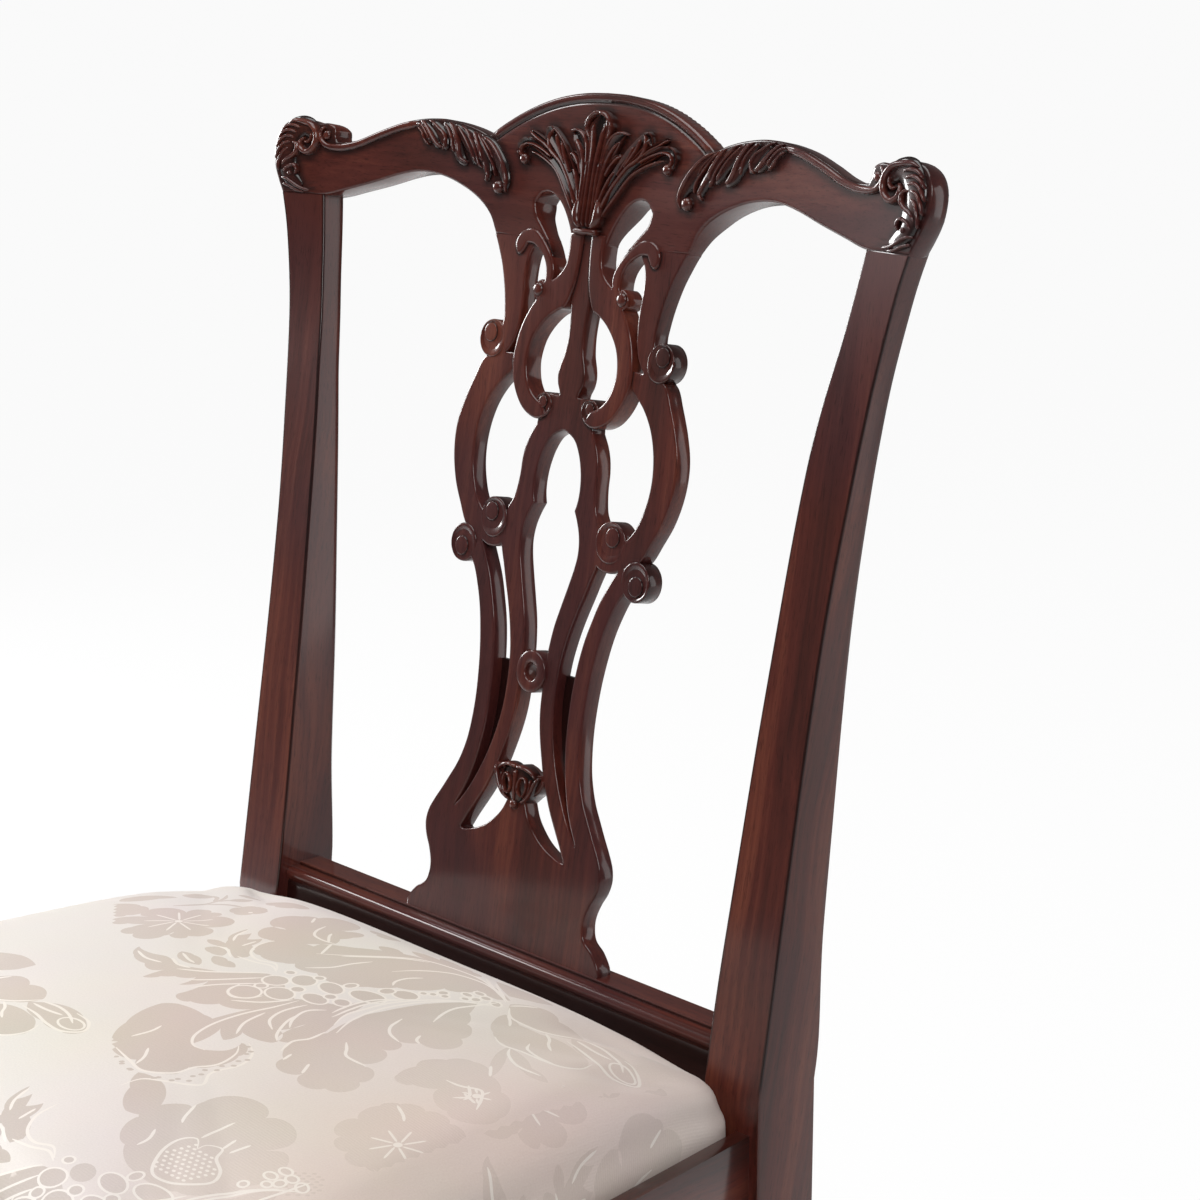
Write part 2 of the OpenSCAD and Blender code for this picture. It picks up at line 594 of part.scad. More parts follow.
// Plan of the seat: a trapezium inside the lip, inset further as asked
well_rear_y = 20;
function seat_corner(i, inset) = let (
        rear = -rear_gap - inset, front = -seat_d + lip_w + edge_gap + inset,
        y = (i == 0 || i == 1) ? rear : front,
        x = side_x(y, lip_w + edge_gap + inset))
    [(i == 1 || i == 2) ? -x : x, y];
module seat_well() translate([0, 0, ledge_z]) linear_extrude(rebate_d + 1) {
    front = -seat_d + lip_w;
    polygon([[side_x(well_rear_y, lip_w), well_rear_y], [-side_x(well_rear_y, lip_w), well_rear_y],
        [-side_x(front, lip_w), front], [side_x(front, lip_w), front]]);
}

module side_rail(side) placed() color(wood) turned_up(side) difference() {
    union() {
        translate([0, 0, rail_low_z]) linear_extrude(rail_h)
            polygon([[side_x(0), 0], [side_x(0, rail_t), 0],
                [side_x(block_rear_y, rail_t), block_rear_y], [side_x(block_rear_y), block_rear_y]]);
        side_tenons();
    }
    seat_well();
    peg_holes_post(fit);
    front_block_screws() screw(fit);
    rear_block_screws() screw(fit);
}
module side_rail_left() side_rail(-1);
module side_rail_right() side_rail(1);

// The front rail's ends follow the blocks' inner faces, which are parallel to the side rails
module front_bar() translate([0, 0, rail_low_z]) linear_extrude(rail_h) {
    far = side_x(rail_t - seat_d) - block_w;
    polygon([[block_in_x, -seat_d], [far, rail_t - seat_d], [-far, rail_t - seat_d],
        [-block_in_x, -seat_d]]);
}

module front_rail() placed() color(wood) difference() {
    union() {
        front_bar();
        both_sides() front_tenon();
    }
    seat_well();
    front_block_screws() screw(fit);
}

// Front legs: height, how far out along the diagonal, half width, squareness
ankle_z = 105;
knee_z = 325;
leg_stations = [
    [rail_low_z + 8, 0, block_w / 2 - 2, 7],
    [rail_low_z, 1, block_w / 2, 6],
    [350, knee_out * 0.62, knee_r, 4.5],
    [338, knee_out * 0.9, knee_r + 0.5, 4],
    [knee_z, knee_out, knee_r, 3.6],
    [305, knee_out * 0.97, knee_r * 0.92, 3.2],
    [280, knee_out * 0.84, knee_r * 0.82, 3],
    [250, knee_out * 0.6, knee_r * 0.73, 2.8],
    [215, knee_out * 0.3, knee_r * 0.65, 2.6],
    [180, knee_out * 0.06, ankle_r + 2.2, 2.4],
    [145, -1.5, ankle_r + 0.8, 2.3],
    [ankle_z + 15, -2.5, ankle_r, 2.2],
    [ankle_z - 10, -2, ankle_r, 2.1],
    [80, 1.5, ankle_r + 1.5, 2],
    [68, foot_out * 0.55, foot_r * 0.58, 2],
    [60, foot_out * 0.8, foot_r * 0.74, 2],
    [51, foot_out, foot_r * 0.9, 2],
    [41, foot_out, foot_r * 0.98, 2],
    [32, foot_out, foot_r, 2],
    [22, foot_out, foot_r * 0.95, 2],
    [12, foot_out, foot_r * 0.8, 2],
    [glide_h, foot_out, foot_r * 0.56, 2]];
leg_sides = 24;
function rounded(c, n) = sign(c) * pow(abs(c), 2 / n);
function leg_ring(s, grow) = [for (k = [0:leg_sides - 1]) let (a = (k + 0.5) * 360 / leg_sides)
    [block_x + s[1] * diagonal + (s[2] + grow) * rounded(cos(a), s[3]),
     block_y - s[1] * diagonal + (s[2] + grow) * rounded(sin(a), s[3]), s[0]]];

module leg_form(grow = 0) {
    rings = len(leg_stations);
    polyhedron(points = [for (s = leg_stations) each leg_ring(s, grow)],
        faces = concat([[for (k = [leg_sides - 1:-1:0]) k]],
            [for (i = [0:rings - 2]) for (k = [0:leg_sides - 1]) let (
                    a = i * leg_sides + k, b = i * leg_sides + (k + 1) % leg_sides)
                each [[b, a + leg_sides, a], [b + leg_sides, a + leg_sides, b]]],
            [[for (k = [0:leg_sides - 1]) (rings - 1) * leg_sides + k]]));
}

module leg_block() translate([0, 0, rail_low_z]) linear_extrude(rail_h)
    polygon([[front_w / 2, -seat_d], [side_x(block_rear_y), block_rear_y],
        [side_x(block_rear_y, block_w * cos(splay)), block_rear_y], [block_in_x, -seat_d]]);

// The block's inner corner lies below the ledge, clear of the seat's underside
corner_drop = 6;
module corner_relief() translate([0, 0, ledge_z - corner_drop]) linear_extrude(corner_drop + 1) {
    y = -seat_d + rail_t;
    polygon([[side_x(0, rail_t), 0], [0, 0], [0, y], [side_x(y, rail_t), y]]);
}

module front_leg(side) placed() color(wood) turned_up(side) difference() {
    union() { leg_block(); leg_form(); }
    front_bar();
    seat_well();
    corner_relief();
    side_tenons(fit);
    front_tenon(fit);
    glide_places() glide_pin(fit);
}
module front_leg_left() front_leg(-1);
module front_leg_right() front_leg(1);

// Knee brackets: out along the rail, then down
bracket_edge = [[1, 0], [0.99, -0.09], [0.87, -0.16], [0.72, -0.18], [0.58, -0.27], [0.43, -0.46],
    [0.26, -0.7], [0.12, -0.88], [-0.2, -1]];
module bracket_profile() polygon(concat([[-0.3 * bracket_l, 0]], [for (p = curve(bracket_edge))
    [p.x * bracket_l, p.y * bracket_h]], [[-0.3 * bracket_l, -bracket_h]]));

module knee_bracket_front(side) placed() color(wood) turned_up(side) difference() {
    translate([block_in_x, -seat_d + bracket_t, rail_low_z]) mirror([1, 0, 0]) rotate([90, 0, 0])
        linear_extrude(bracket_t) bracket_profile();
    leg_form(fit);
}
module knee_bracket_side(side) placed() color(wood) turned_up(side) difference() {
    translate([side_x(block_rear_y), block_rear_y, rail_low_z]) rotate([0, 0, splay])
        translate([-bracket_t, 0, 0]) rotate([90, 0, 90]) linear_extrude(bracket_t) bracket_profile();
    leg_form(fit);
}
module knee_bracket_front_left() knee_bracket_front(-1);
module knee_bracket_front_right() knee_bracket_front(1);
module knee_bracket_side_left() knee_bracket_side(-1);
module knee_bracket_side_right() knee_bracket_side(1);

// Corner blocks: three-cornered in plan, glued and screwed into the rails
corner_low_z = rail_low_z + 4;
rail_in_y = -seat_d + rail_t;
module corner_slab() translate([0, 0, corner_low_z]) linear_extrude(corner_h) children();
block_clear = 1;

module front_corner() corner_slab() difference() {
    polygon([[side_x(rail_in_y + corner_l, rail_t), rail_in_y + corner_l],
        [side_x(rail_in_y, rail_t), rail_in_y], [side_x(rail_in_y, rail_t) - corner_l, rail_in_y]]);
    translate([block_in_x - block_w / 2, -seat_d - 1])
        square([block_w * 2, block_w * cos(splay) + 1 + block_clear]);
    translate([block_in_x - block_clear - 1, -seat_d - 1])
        square([block_w, block_w + 8]);
}
module rear_corner() corner_slab()
    polygon([[side_x(0, rail_t), 0], [side_x(-corner_l, rail_t), -corner_l],
        [side_x(0, rail_t) - corner_l, 0]]);

// Each block has one screw into each rail, square to the rail
screw_up = corner_h / 2;
screw_in = 14; // where the head lies inside the rail's face
front_screw_x = side_x(rail_in_y, rail_t) - corner_l + 16;
rear_screw_x = side_x(0, rail_t) - corner_l + 16;
module into_side_rail(y) translate([side_x(y, rail_t + screw_in), y, corner_low_z + screw_up])
    rotate([0, 0, splay]) rotate([0, 90, 0]) children();
module front_block_screws() {
    both_sides() translate([front_screw_x, rail_in_y + screw_in, corner_low_z + screw_up])
        rotate([90, 0, 0]) children();
    both_sides() into_side_rail(rail_in_y + corner_l - 17) children();
}
module rear_block_screws() {
    both_sides() translate([rear_screw_x, -screw_in, corner_low_z + screw_up])
        rotate([-90, 0, 0]) children();
    both_sides() into_side_rail(-corner_l + 17) children();
}
module bored(gap) { screw(gap); translate([0, 0, -40]) cylinder(d = screw_head_d + 2 * gap, h = 41, $fn = 32); }
module corner_block_front(side) placed() color(inner_wood) turned_up(side) difference() {
    front_corner();
    front_block_screws() bored(fit);
}
module corner_block_rear(side) placed() color(inner_wood) turned_up(side) difference() {
    rear_corner();
    rear_block_screws() bored(fit);
}
module corner_block_front_left() corner_block_front(-1);
module corner_block_front_right() corner_block_front(1);
module corner_block_rear_left() corner_block_rear(-1);
module corner_block_rear_right() corner_block_rear(1);
module block_screws() placed() color(brass) { front_block_screws() screw(); rear_block_screws() screw(); }

module rail_pegs() placed() color(dark_wood) both_sides() peg_holes_post(0);

module floor_glides() placed() color(brass) glide_places() {
    cylinder(d = glide_d, h = glide_h, $fn = 48);
    glide_pin(0);
}

// Drop-in seat: frame, webbing, hessian, pad, cover and dust cover
seat_low_z = ledge_z + rest_gap;
frame_z = seat_low_z + cover_t + layer_gap;
frame_top_z = frame_z + frame_t;
frame_inset = cover_t + layer_gap;
web_z = frame_top_z + layer_gap;
hessian_z = web_z + 2 * strap_t + layer_gap;
hessian_t = 0.8;
pad_z = hessian_z + hessian_t + layer_gap;
frame_rear_y = seat_corner(0, frame_inset).y;
frame_front_y = seat_corner(3, frame_inset).y;
function frame_x(y, inset = 0) = side_x(y, lip_w + edge_gap + frame_inset + inset);

// The frame's corners are rounded like the cover round them
module frame_plan() polygon([for (p = flat_ring(frame_inset, 0, base_r)) [p.x, p.y]]);
module frame_side(side) placed() color(inner_wood) turned_up(side) difference() {
    translate([0, 0, frame_z]) linear_extrude(frame_t) intersection() {
        frame_plan();
        polygon([[frame_x(frame_rear_y), frame_rear_y],
            [frame_x(frame_rear_y, frame_w), frame_rear_y],
            [frame_x(frame_front_y, frame_w), frame_front_y],
            [frame_x(frame_front_y), frame_front_y]]);
    }
    frame_dowel_places() frame_dowel(fit);
}
module frame_cross(y) placed() color(inner_wood) difference() {
    translate([0, 0, frame_z]) linear_extrude(frame_t) polygon([
        [frame_x(y, frame_w), y], [-frame_x(y, frame_w), y],
        [-frame_x(y + frame_w, frame_w), y + frame_w], [frame_x(y + frame_w, frame_w), y + frame_w]]);
    frame_dowel_places() frame_dowel(fit);
}
frame_dowel_l = 40;
module frame_dowel_places() both_sides()
    for (y = [frame_front_y, frame_rear_y - frame_w]) for (q = [0.28, 0.72])
        translate([frame_x(y + q * frame_w, frame_w), y + q * frame_w, frame_z + frame_t / 2])
            rotate([0, 0, splay]) rotate([0, 90, 0]) children();
module frame_dowel(gap) translate([0, 0, -frame_dowel_l / 2 - gap])
    cylinder(d = frame_dowel_d + 2 * gap, h = frame_dowel_l + 2 * gap, $fn = 32);
module seat_frame_left() frame_side(-1);
module seat_frame_right() frame_side(1);
module seat_frame_front() frame_cross(frame_front_y);
module seat_frame_back() frame_cross(frame_rear_y - frame_w);
module seat_frame_dowels() placed() color(inner_wood) frame_dowel_places() frame_dowel(0);

// Webbing: lengthwise straps below, crosswise straps on them
strap_count = 4;
strap_lap = 6; // how far the straps stop short of the frame's outer edge
module seat_webbing() placed() color(cloth) {
    half = frame_x(frame_rear_y, frame_w) + frame_w / 2 - strap_w / 2;
    for (i = [0:strap_count - 1]) translate([-half + 2 * half * i / (strap_count - 1) - strap_w / 2,
            frame_front_y + strap_lap, web_z])
        cube([strap_w, frame_rear_y - frame_front_y - 2 * strap_lap, strap_t]);
    near = frame_front_y + frame_w * 0.7 + strap_w / 2;
    far = frame_rear_y - frame_w * 0.7 - strap_w / 2;
    for (i = [0:strap_count - 1]) let (y = near + (far - near) * i / (strap_count - 1)) {
        reach = frame_x(y + strap_w / 2, strap_lap);
        translate([-reach, y - strap_w / 2, web_z + strap_t]) cube([2 * reach, strap_w, strap_t]);
    }
}

function frame_corners(inset) = [[frame_x(frame_rear_y, inset), frame_rear_y - inset],
    [-frame_x(frame_rear_y, inset), frame_rear_y - inset],
    [-frame_x(frame_front_y, inset), frame_front_y + inset],
    [frame_x(frame_front_y, inset), frame_front_y + inset]];
module seat_hessian() placed() color(inner_wood) translate([0, 0, hessian_z])
    linear_extrude(hessian_t) polygon(frame_corners(4));

// Rings of the cushion: the same rounded trapezium, inset and lifted step by step
arc_steps = 5;
edge_steps = 6;
corner_from = [splay, 90, 180 - splay, 270];
corner_to = [90, 180 - splay, 270, 360 + splay];
// Each step: inset, share of the edge's height, share of the drawn-in, radius of the corners
edge_rise = [[0, 0, 0, 10], [-1.2, 0.3, 0.4, 12], [-0.8, 0.55, 0.8, 16], [1.6, 0.76, 1, 22],
    [6, 0.9, 1, 30], [13, 0.97, 1, 38], [22, 1, 1, 46]];
crown_share = [0.84, 0.66, 0.46, 0.24];
function ring_point(c, r, out, low_z, top_z, step, dip, pull) = let (d = r - pull * step[2])
    [c.x + d * out.x, c.y + d * out.y, low_z + (top_z - corner_dip * dip - low_z) * step[1]];
function cushion_ring(step, inset, low_z, top_z) = [for (i = [0:3]) let (
        r = step[3] - step[0] - inset, c = seat_corner(i, step[3]),
        n = seat_corner((i + 1) % 4, step[3]), a = corner_to[i], out = [cos(a), sin(a)])
    each concat(
        [for (k = [0:arc_steps]) let (
                b = corner_from[i] + (corner_to[i] - corner_from[i]) * k / arc_steps)
            ring_point(c, r, [cos(b), sin(b)], low_z, top_z, step, 1, 0)],
        [for (k = [1:edge_steps - 1]) let (u = k / edge_steps)
            ring_point(c + (n - c) * u, r, out, low_z, top_z, step, pow(2 * u - 1, 4),
                edge_pull * 4 * u * (1 - u))])];
function flat_ring(inset, z, r) = cushion_ring([inset, 0, 0, r], 0, z, z);
ring_n = 4 * (arc_steps + edge_steps);
cushion_mid = [0, (seat_corner(0, 0).y + seat_corner(3, 0).y) / 2];
edge_top_z = frame_top_z + pad_edge_h;
function crown_tip(inset) = [cushion_mid.x, cushion_mid.y, edge_top_z - inset + crown_h];
function shrunk(ring, q, tip) = [for (p = ring) [tip.x + (p.x - tip.x) * q,
    tip.y + (p.y - tip.y) * q, tip.z - (tip.z - p.z) * q * q]];
function dome(inset) = let (
        edge = [for (e = edge_rise) cushion_ring(e, inset, pad_z, edge_top_z - inset)],
        last = edge[len(edge) - 1])
    concat(edge, [for (q = crown_share) shrunk(last, q, crown_tip(inset))]);
function strip(a, b) = [for (k = [0:ring_n - 1]) let (m = (k + 1) % ring_n)
    each [[a * ring_n + k, b * ring_n + k, a * ring_n + m], [a * ring_n + m, b * ring_n + k, b * ring_n + m]]];
function fan(a, tip) = [for (k = [0:ring_n - 1]) [a * ring_n + k, tip, a * ring_n + (k + 1) % ring_n]];
function turned(faces) = [for (f = faces) [f[2], f[1], f[0]]];

module seat_pad() placed() color(cloth) {
    rings = dome(frame_inset);
    n = len(rings);
    polyhedron(points = concat([for (r = rings) each r],
            [crown_tip(frame_inset), [cushion_mid.x, cushion_mid.y, pad_z]]),
        faces = concat([for (i = [0:n - 2]) each strip(i, i + 1)], fan(n - 1, n * ring_n),
            turned(fan(0, n * ring_n + 1))));
}

// Cover: one cloth shell over the pad and round the frame, turned in underneath
fold_w = 30;
base_r = edge_rise[0][3];
module seat_cover() placed() color(cloth) {
    high_z = seat_low_z + cover_t;
    outer = concat([flat_ring(fold_w, seat_low_z, fold_w + 4), flat_ring(1, seat_low_z, base_r),
        flat_ring(0, seat_low_z + 1, base_r)], dome(0));
    inner = concat([flat_ring(fold_w, high_z, fold_w + 4),
        flat_ring(cover_t + layer_gap / 2, high_z, base_r),
        flat_ring(cover_t, high_z + layer_gap / 2, base_r)], dome(cover_t));
    n = len(outer);
    tips = 2 * n * ring_n;
    polyhedron(points = concat([for (r = outer) each r], [for (r = inner) each r],
            [crown_tip(0), crown_tip(cover_t)]),
        faces = concat([for (i = [0:n - 2]) each strip(i, i + 1)], fan(n - 1, tips),
            turned([for (i = [0:n - 2]) each strip(n + i, n + i + 1)]),
            turned(fan(2 * n - 1, tips + 1)), turned(strip(0, n))));
}

dust_t = 0.6;
dust_inset = 20;
dust_z = seat_low_z - layer_gap - dust_t;
module dust_cover() placed() color([0.1, 0.1, 0.1]) translate([0, 0, dust_z])
    linear_extrude(dust_t) polygon(frame_corners(dust_inset));

tack_head_d = 6;
tack_head_h = 0.8;
tack_count = 7;
module dust_cover_tacks() placed() color(brass) {
    c = frame_corners(dust_inset + 6);
    for (i = [0:3]) for (k = [0:tack_count - 1]) let (p = c[i] + (c[(i + 1) % 4] - c[i]) * k / tack_count)
        translate([p.x, p.y, dust_z - layer_gap - tack_head_h])
            cylinder(d = tack_head_d, h = tack_head_h, $fn = 24);
}

rear_post_left();
rear_post_right();
crest_rail();
crest_dowels();
splat();
shoe();
shoe_screws();
rear_rail();
seat_ledger();
ledger_screws();
side_rail_left();
side_rail_right();
front_rail();
front_leg_left();
front_leg_right();
knee_bracket_front_left();
knee_bracket_front_right();
knee_bracket_side_left();
knee_bracket_side_right();
corner_block_front_left();
corner_block_front_right();
corner_block_rear_left();
corner_block_rear_right();
block_screws();
rail_pegs();
floor_glides();
seat_frame_front();
seat_frame_back();
seat_frame_left();
seat_frame_right();
seat_frame_dowels();
seat_webbing();
seat_hessian();
seat_pad();
seat_cover();
dust_cover();
dust_cover_tacks();
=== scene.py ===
import math
import bmesh
import bpy
import numpy as np
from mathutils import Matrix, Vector, kdtree
from mathutils.bvhtree import BVHTree
from mathutils.geometry import barycentric_transform, delaunay_2d_cdt


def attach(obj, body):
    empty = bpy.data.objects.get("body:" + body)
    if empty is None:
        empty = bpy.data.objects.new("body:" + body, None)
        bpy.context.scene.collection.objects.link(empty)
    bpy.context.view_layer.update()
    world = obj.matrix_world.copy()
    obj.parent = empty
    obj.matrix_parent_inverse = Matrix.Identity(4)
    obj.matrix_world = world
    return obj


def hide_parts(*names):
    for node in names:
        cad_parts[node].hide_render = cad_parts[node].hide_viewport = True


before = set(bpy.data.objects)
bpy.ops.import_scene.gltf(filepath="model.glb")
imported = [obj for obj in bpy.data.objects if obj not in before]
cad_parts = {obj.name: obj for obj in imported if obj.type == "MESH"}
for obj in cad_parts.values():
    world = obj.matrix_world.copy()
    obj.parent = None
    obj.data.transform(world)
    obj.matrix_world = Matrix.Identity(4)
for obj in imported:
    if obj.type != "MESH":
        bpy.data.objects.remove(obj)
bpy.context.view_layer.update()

scene = bpy.context.scene
scene.view_settings.view_transform = "Standard"

# Everything is drawn in millimetres and becomes metres in makePiece
back = {"rake": math.radians(10.2), "splatSetY": 171.581, "shoeTopZ": 475.0, "crestRadius": 1420.0,
        "splatThick": 12.0, "bandLift": 1.5, "webThick": 4.0, "joinS": 434.0, "postJoinS": 450.0}
sinRake, cosRake, tanRake = (f(back["rake"]) for f in (math.sin, math.cos, math.tan))


def hexColor(text):
    parts = [int(text[i:i + 2], 16) / 255 for i in (1, 3, 5)]
    return [c / 12.92 if c <= 0.04045 else ((c + 0.055) / 1.055) ** 2.4 for c in parts] + [1.0]


def addNode(tree, kind, settings=None, inputs=None):
    node = tree.nodes.new(kind)
    for name, value in (settings or {}).items():
        setattr(node, name, value)
    for socket, value in (inputs or {}).items():
        if isinstance(value, bpy.types.NodeSocket):
            tree.links.new(value, node.inputs[socket])
        else:
            node.inputs[socket].default_value = value
    return node


def rampOf(tree, value, stops):
    node = addNode(tree, "ShaderNodeValToRGB", inputs={0: value})
    ramp = node.color_ramp
    while len(ramp.elements) < len(stops):
        ramp.elements.new(0.5)
    for element, (place, color) in zip(ramp.elements, stops):
        element.position = place
        element.color = hexColor(color)
    return node.outputs[0]


def newMaterial(name):
    material = bpy.data.materials.new(name)
    material.use_nodes = True
    material.node_tree.nodes.clear()
    return material, material.node_tree


def mathOf(tree, operation, *values):
    return addNode(tree, "ShaderNodeMath", {"operation": operation}, dict(enumerate(values))).outputs[0]


def scaledBy(tree, vector, factors):
    return addNode(tree, "ShaderNodeVectorMath", {"operation": "MULTIPLY"},
                   {0: vector, 1: factors}).outputs[0]


def rangeOf(tree, value, toLow, toHigh, low=0.0, high=1.0):
    return addNode(tree, "ShaderNodeMapRange", inputs={0: value, 1: low, 2: high, 3: toLow,
                                                       4: toHigh}).outputs[0]


def mixValues(tree, share, first, second):
    return addNode(tree, "ShaderNodeMix", {"data_type": "FLOAT"}, {0: share, 2: first, 3: second}).outputs[0]


def mixColors(tree, share, first, second, blend="MIX"):
    settings = {"data_type": "RGBA", "blend_type": blend}
    return addNode(tree, "ShaderNodeMix", settings, {0: share, 6: first, 7: second}).outputs[2]


def noiseAt(tree, vector, scale, detail, roughness=0.5):
    return addNode(tree, "ShaderNodeTexNoise", inputs={"Vector": vector, "Scale": scale, "Detail": detail,
                                                       "Roughness": roughness})


def bumpOf(tree, strength, distance, height, under=None, invert=False):
    inputs = {"Strength": strength, "Distance": distance, "Height": height}
    if under is not None:
        inputs["Normal"] = under
    return addNode(tree, "ShaderNodeBump", {"invert": invert}, inputs).outputs[0]


def surfaceFrom(tree, color, rough, bump, more):
    inputs = {"Base Color": color, "Roughness": rough, "Normal": bump, **more}
    shader = addNode(tree, "ShaderNodeBsdfPrincipled", inputs=inputs)
    addNode(tree, "ShaderNodeOutputMaterial", inputs={0: shader.outputs[0]})


def smoothStep(low, high, v):
    t = np.clip((np.asarray(v, float) - low) / (high - low), 0, 1)
    return t * t * (3 - 2 * t)


# A smooth curve through the points, about spacing apart; further columns such as width follow along
def curveThrough(points, spacing=1.3):
    p = np.array(points, float)
    ends = np.vstack([p[:1], p, p[-1:]])
    out = []
    for i in range(len(p) - 1):
        a, b, c, d = ends[i:i + 4]
        n = max(2, math.ceil(np.linalg.norm((c - b)[:2]) / spacing))
        t = (np.arange(n) / n)[:, None]
        out.append(0.5 * (2 * b + (c - a) * t + (2 * a - 5 * b + 4 * c - d) * t * t
                          + (3 * b - a - 3 * c + d) * t ** 3))
    return np.vstack(out + [p[-1:]])


def circlePoints(centre, radius, count=40):
    return np.array(centre) + radius * roundAbout(count)


def mirrored(points):
    p = np.array(points, float)[::-1].copy()
    p[:, 0] *= -1
    return p


def signedArea(p):
    x, y = p[:, 0], p[:, 1]
    return 0.5 * float(np.sum(x * np.roll(y, -1) - np.roll(x, -1) * y))


# Unit vectors to the left of the given ones
def leftOf(along):
    return np.stack([-along[:, 1], along[:, 0]], 1) / (np.linalg.norm(along, axis=1)[:, None] + 1e-9)


# Directions round a circle
def roundAbout(count):
    a = np.arange(count) * 2 * math.pi / count
    return np.stack([np.cos(a), np.sin(a)], 1)


# Faces of a band of rings that have count points each; then the same closed by a point after the last ring
def bandFaces(rings, count):
    return [[i + j, i + (j + 1) % count, i + count + (j + 1) % count, i + count + j]
            for i in range(0, (rings - 1) * count, count) for j in range(count)]


def cappedFaces(rings, count):
    last = (rings - 1) * count
    return bandFaces(rings, count) + [[last + j, last + (j + 1) % count, last + count] for j in range(count)]


# A closed body through rings of points, with a flat face at each end
def loft(rings):
    k, last = len(rings[0]), (len(rings) - 1) * len(rings[0])
    return np.vstack(rings), [*bandFaces(len(rings), k), list(range(k))[::-1], [last + j for j in range(k)]]


# The back's two surfaces: across, up and towards the sitter to x, y, z
def leaning(x, w, n):
    return np.stack([x, back["splatSetY"] + w * sinRake - n * cosRake,
                     back["shoeTopZ"] + w * cosRake + n * sinRake], 1)


def onSplat(p, lift):
    return leaning(p[:, 0], p[:, 1] / cosRake, np.asarray(lift, float) + np.zeros(len(p)))


def onCrest(p, lift):
    x, s = p[:, 0], p[:, 1]
    share = np.maximum(smoothStep(back["joinS"], 466, s), smoothStep(88, 140, abs(x)))
    hollow = x * x / (2 * back["crestRadius"]) * share
    return leaning(x, s / cosRake - hollow * tanRake, hollow + lift)


def linked(name, data):
    item = bpy.data.objects.new(name, data)
    scene.collection.objects.link(item)
    return item


# An object from points in millimetres
def workObject(name, points, faces=()):
    mesh = bpy.data.meshes.new(name)
    mesh.from_pydata((np.asarray(points, float) / 1000).tolist(), [], faces)
    return linked(name, mesh)


def evaluated(item):
    return item.evaluated_get(bpy.context.evaluated_depsgraph_get())


def makePiece(name, verts, faces, material, nodes=(), body="chair", sharp=40, values=None):
    piece = workObject(name, verts, [[int(i) for i in f] for f in faces])
    mesh = piece.data
    mesh.validate()
    mesh.polygons.foreach_set("use_smooth", [True] * len(mesh.polygons))
    if sharp:
        mesh.set_sharp_from_angle(angle=math.radians(sharp))
    for key, data in (values or {}).items():
        mesh.attributes.new(key, "FLOAT", "POINT").data.foreach_set("value", np.asarray(data, np.float32))
    mesh.materials.append(material)
    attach(piece, body)
    if nodes:
        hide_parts(*nodes)
    return piece


def joinParts(parts):
    verts, faces, values, base = [], [], [], 0
    for v, f, r in parts:
        verts.append(v)
        faces += [[i + base for i in face] for face in f]
        values.append(r)
        base += len(v)
    return np.vstack(verts), faces, np.concatenate(values)


# Which points lie inside the loops, by counting the edges crossed on the way out
def insideOf(points, loops):
    x, y = points[:, 0], points[:, 1]
    odd = np.zeros(len(points), bool)
    for loop in loops:
        for p, q in zip(loop, np.roll(loop, -1, 0)):
            if p[1] != q[1]:
                odd ^= ((p[1] > y) != (q[1] > y)) & (x < (q[0] - p[0]) * (y - p[1]) / (q[1] - p[1]) + p[0])
    return odd


def rimOf(tris):
    edges = {}
    for tri in tris:
        for a, b in zip(tri, [*tri[1:], tri[0]]):
            if (b, a) in edges:
                del edges[b, a]
            else:
                edges[a, b] = True
    return list(edges)


# Drawn lines as points and edges, and the triangles between them with their middles
def addLine(verts, edges, p, closed=True):
    first, n = len(verts), len(p)
    verts += [Vector(q) for q in p]
    edges += [(first + i, first + (i + 1) % n) for i in range(n if closed else n - 1)]


def triangulated(verts, edges, tolerance=1e-4):
    v, _, tris, *_ = delaunay_2d_cdt(verts, edges, [], 0, tolerance, False)
    v = np.array([list(q) for q in v])
    return v, tris, np.array([v[tri].mean(0) for tri in tris])


def withoutLoose(points, faces):
    used = sorted({i for face in faces for i in face})
    number = {old: new for new, old in enumerate(used)}
    return points[used], [[number[i] for i in face] for face in faces]


# Outline of drawn shapes laid over each other, less the holes: closed loops with the wood on their left
def outlineOf(solids, holes):
    shapes = [np.asarray(p, float)[:, :2] for p in [*solids, *holes]]
    verts, edges = [], []
    for p in shapes:
        addLine(verts, edges, p)
    v, tris, middles = triangulated(verts, edges)
    solid = np.zeros(len(tris), bool)
    for k, p in enumerate(shapes):
        solid = solid | insideOf(middles, [p]) if k < len(solids) else solid & ~insideOf(middles, [p])
    after = {}
    for a, b in rimOf([tri for tri, s in zip(tris, solid) if s]):
        after.setdefault(a, []).append(b)
    loops = []
    while after:
        start = next(iter(after))
        loop, at = [start], start
        while True:
            following = after[at].pop()
            if not after[at]:
                del after[at]
            if following == start:
                break
            loop.append(following)
            at = following
        p = v[loop]
        p = p[np.linalg.norm(p - np.roll(p, 1, 0), axis=1) > 0.12]
        if len(p) > 5 and abs(signedArea(p)) > 2:
            loops.append(p)
    return loops


def treeOf(among):
    tree = kdtree.KDTree(len(among))
    for i, p in enumerate(among):
        tree.insert((p[0], p[1], 0), i)
    tree.balance()
    return tree


def distanceTo(tree, points):
    return np.array([tree.find((p[0], p[1], 0))[2] for p in points])


def nearest(points, among):
    return distanceTo(treeOf(among), points)


def dense(p, closed, step=0.3):
    q = np.vstack([p, p[:1]]) if closed else p
    out = []
    for a, b in zip(q[:-1], q[1:]):
        n = max(1, math.ceil(np.linalg.norm(b - a) / step))
        out.append(a + (b - a) * (np.arange(n) / n)[:, None])
    return np.vstack(out)


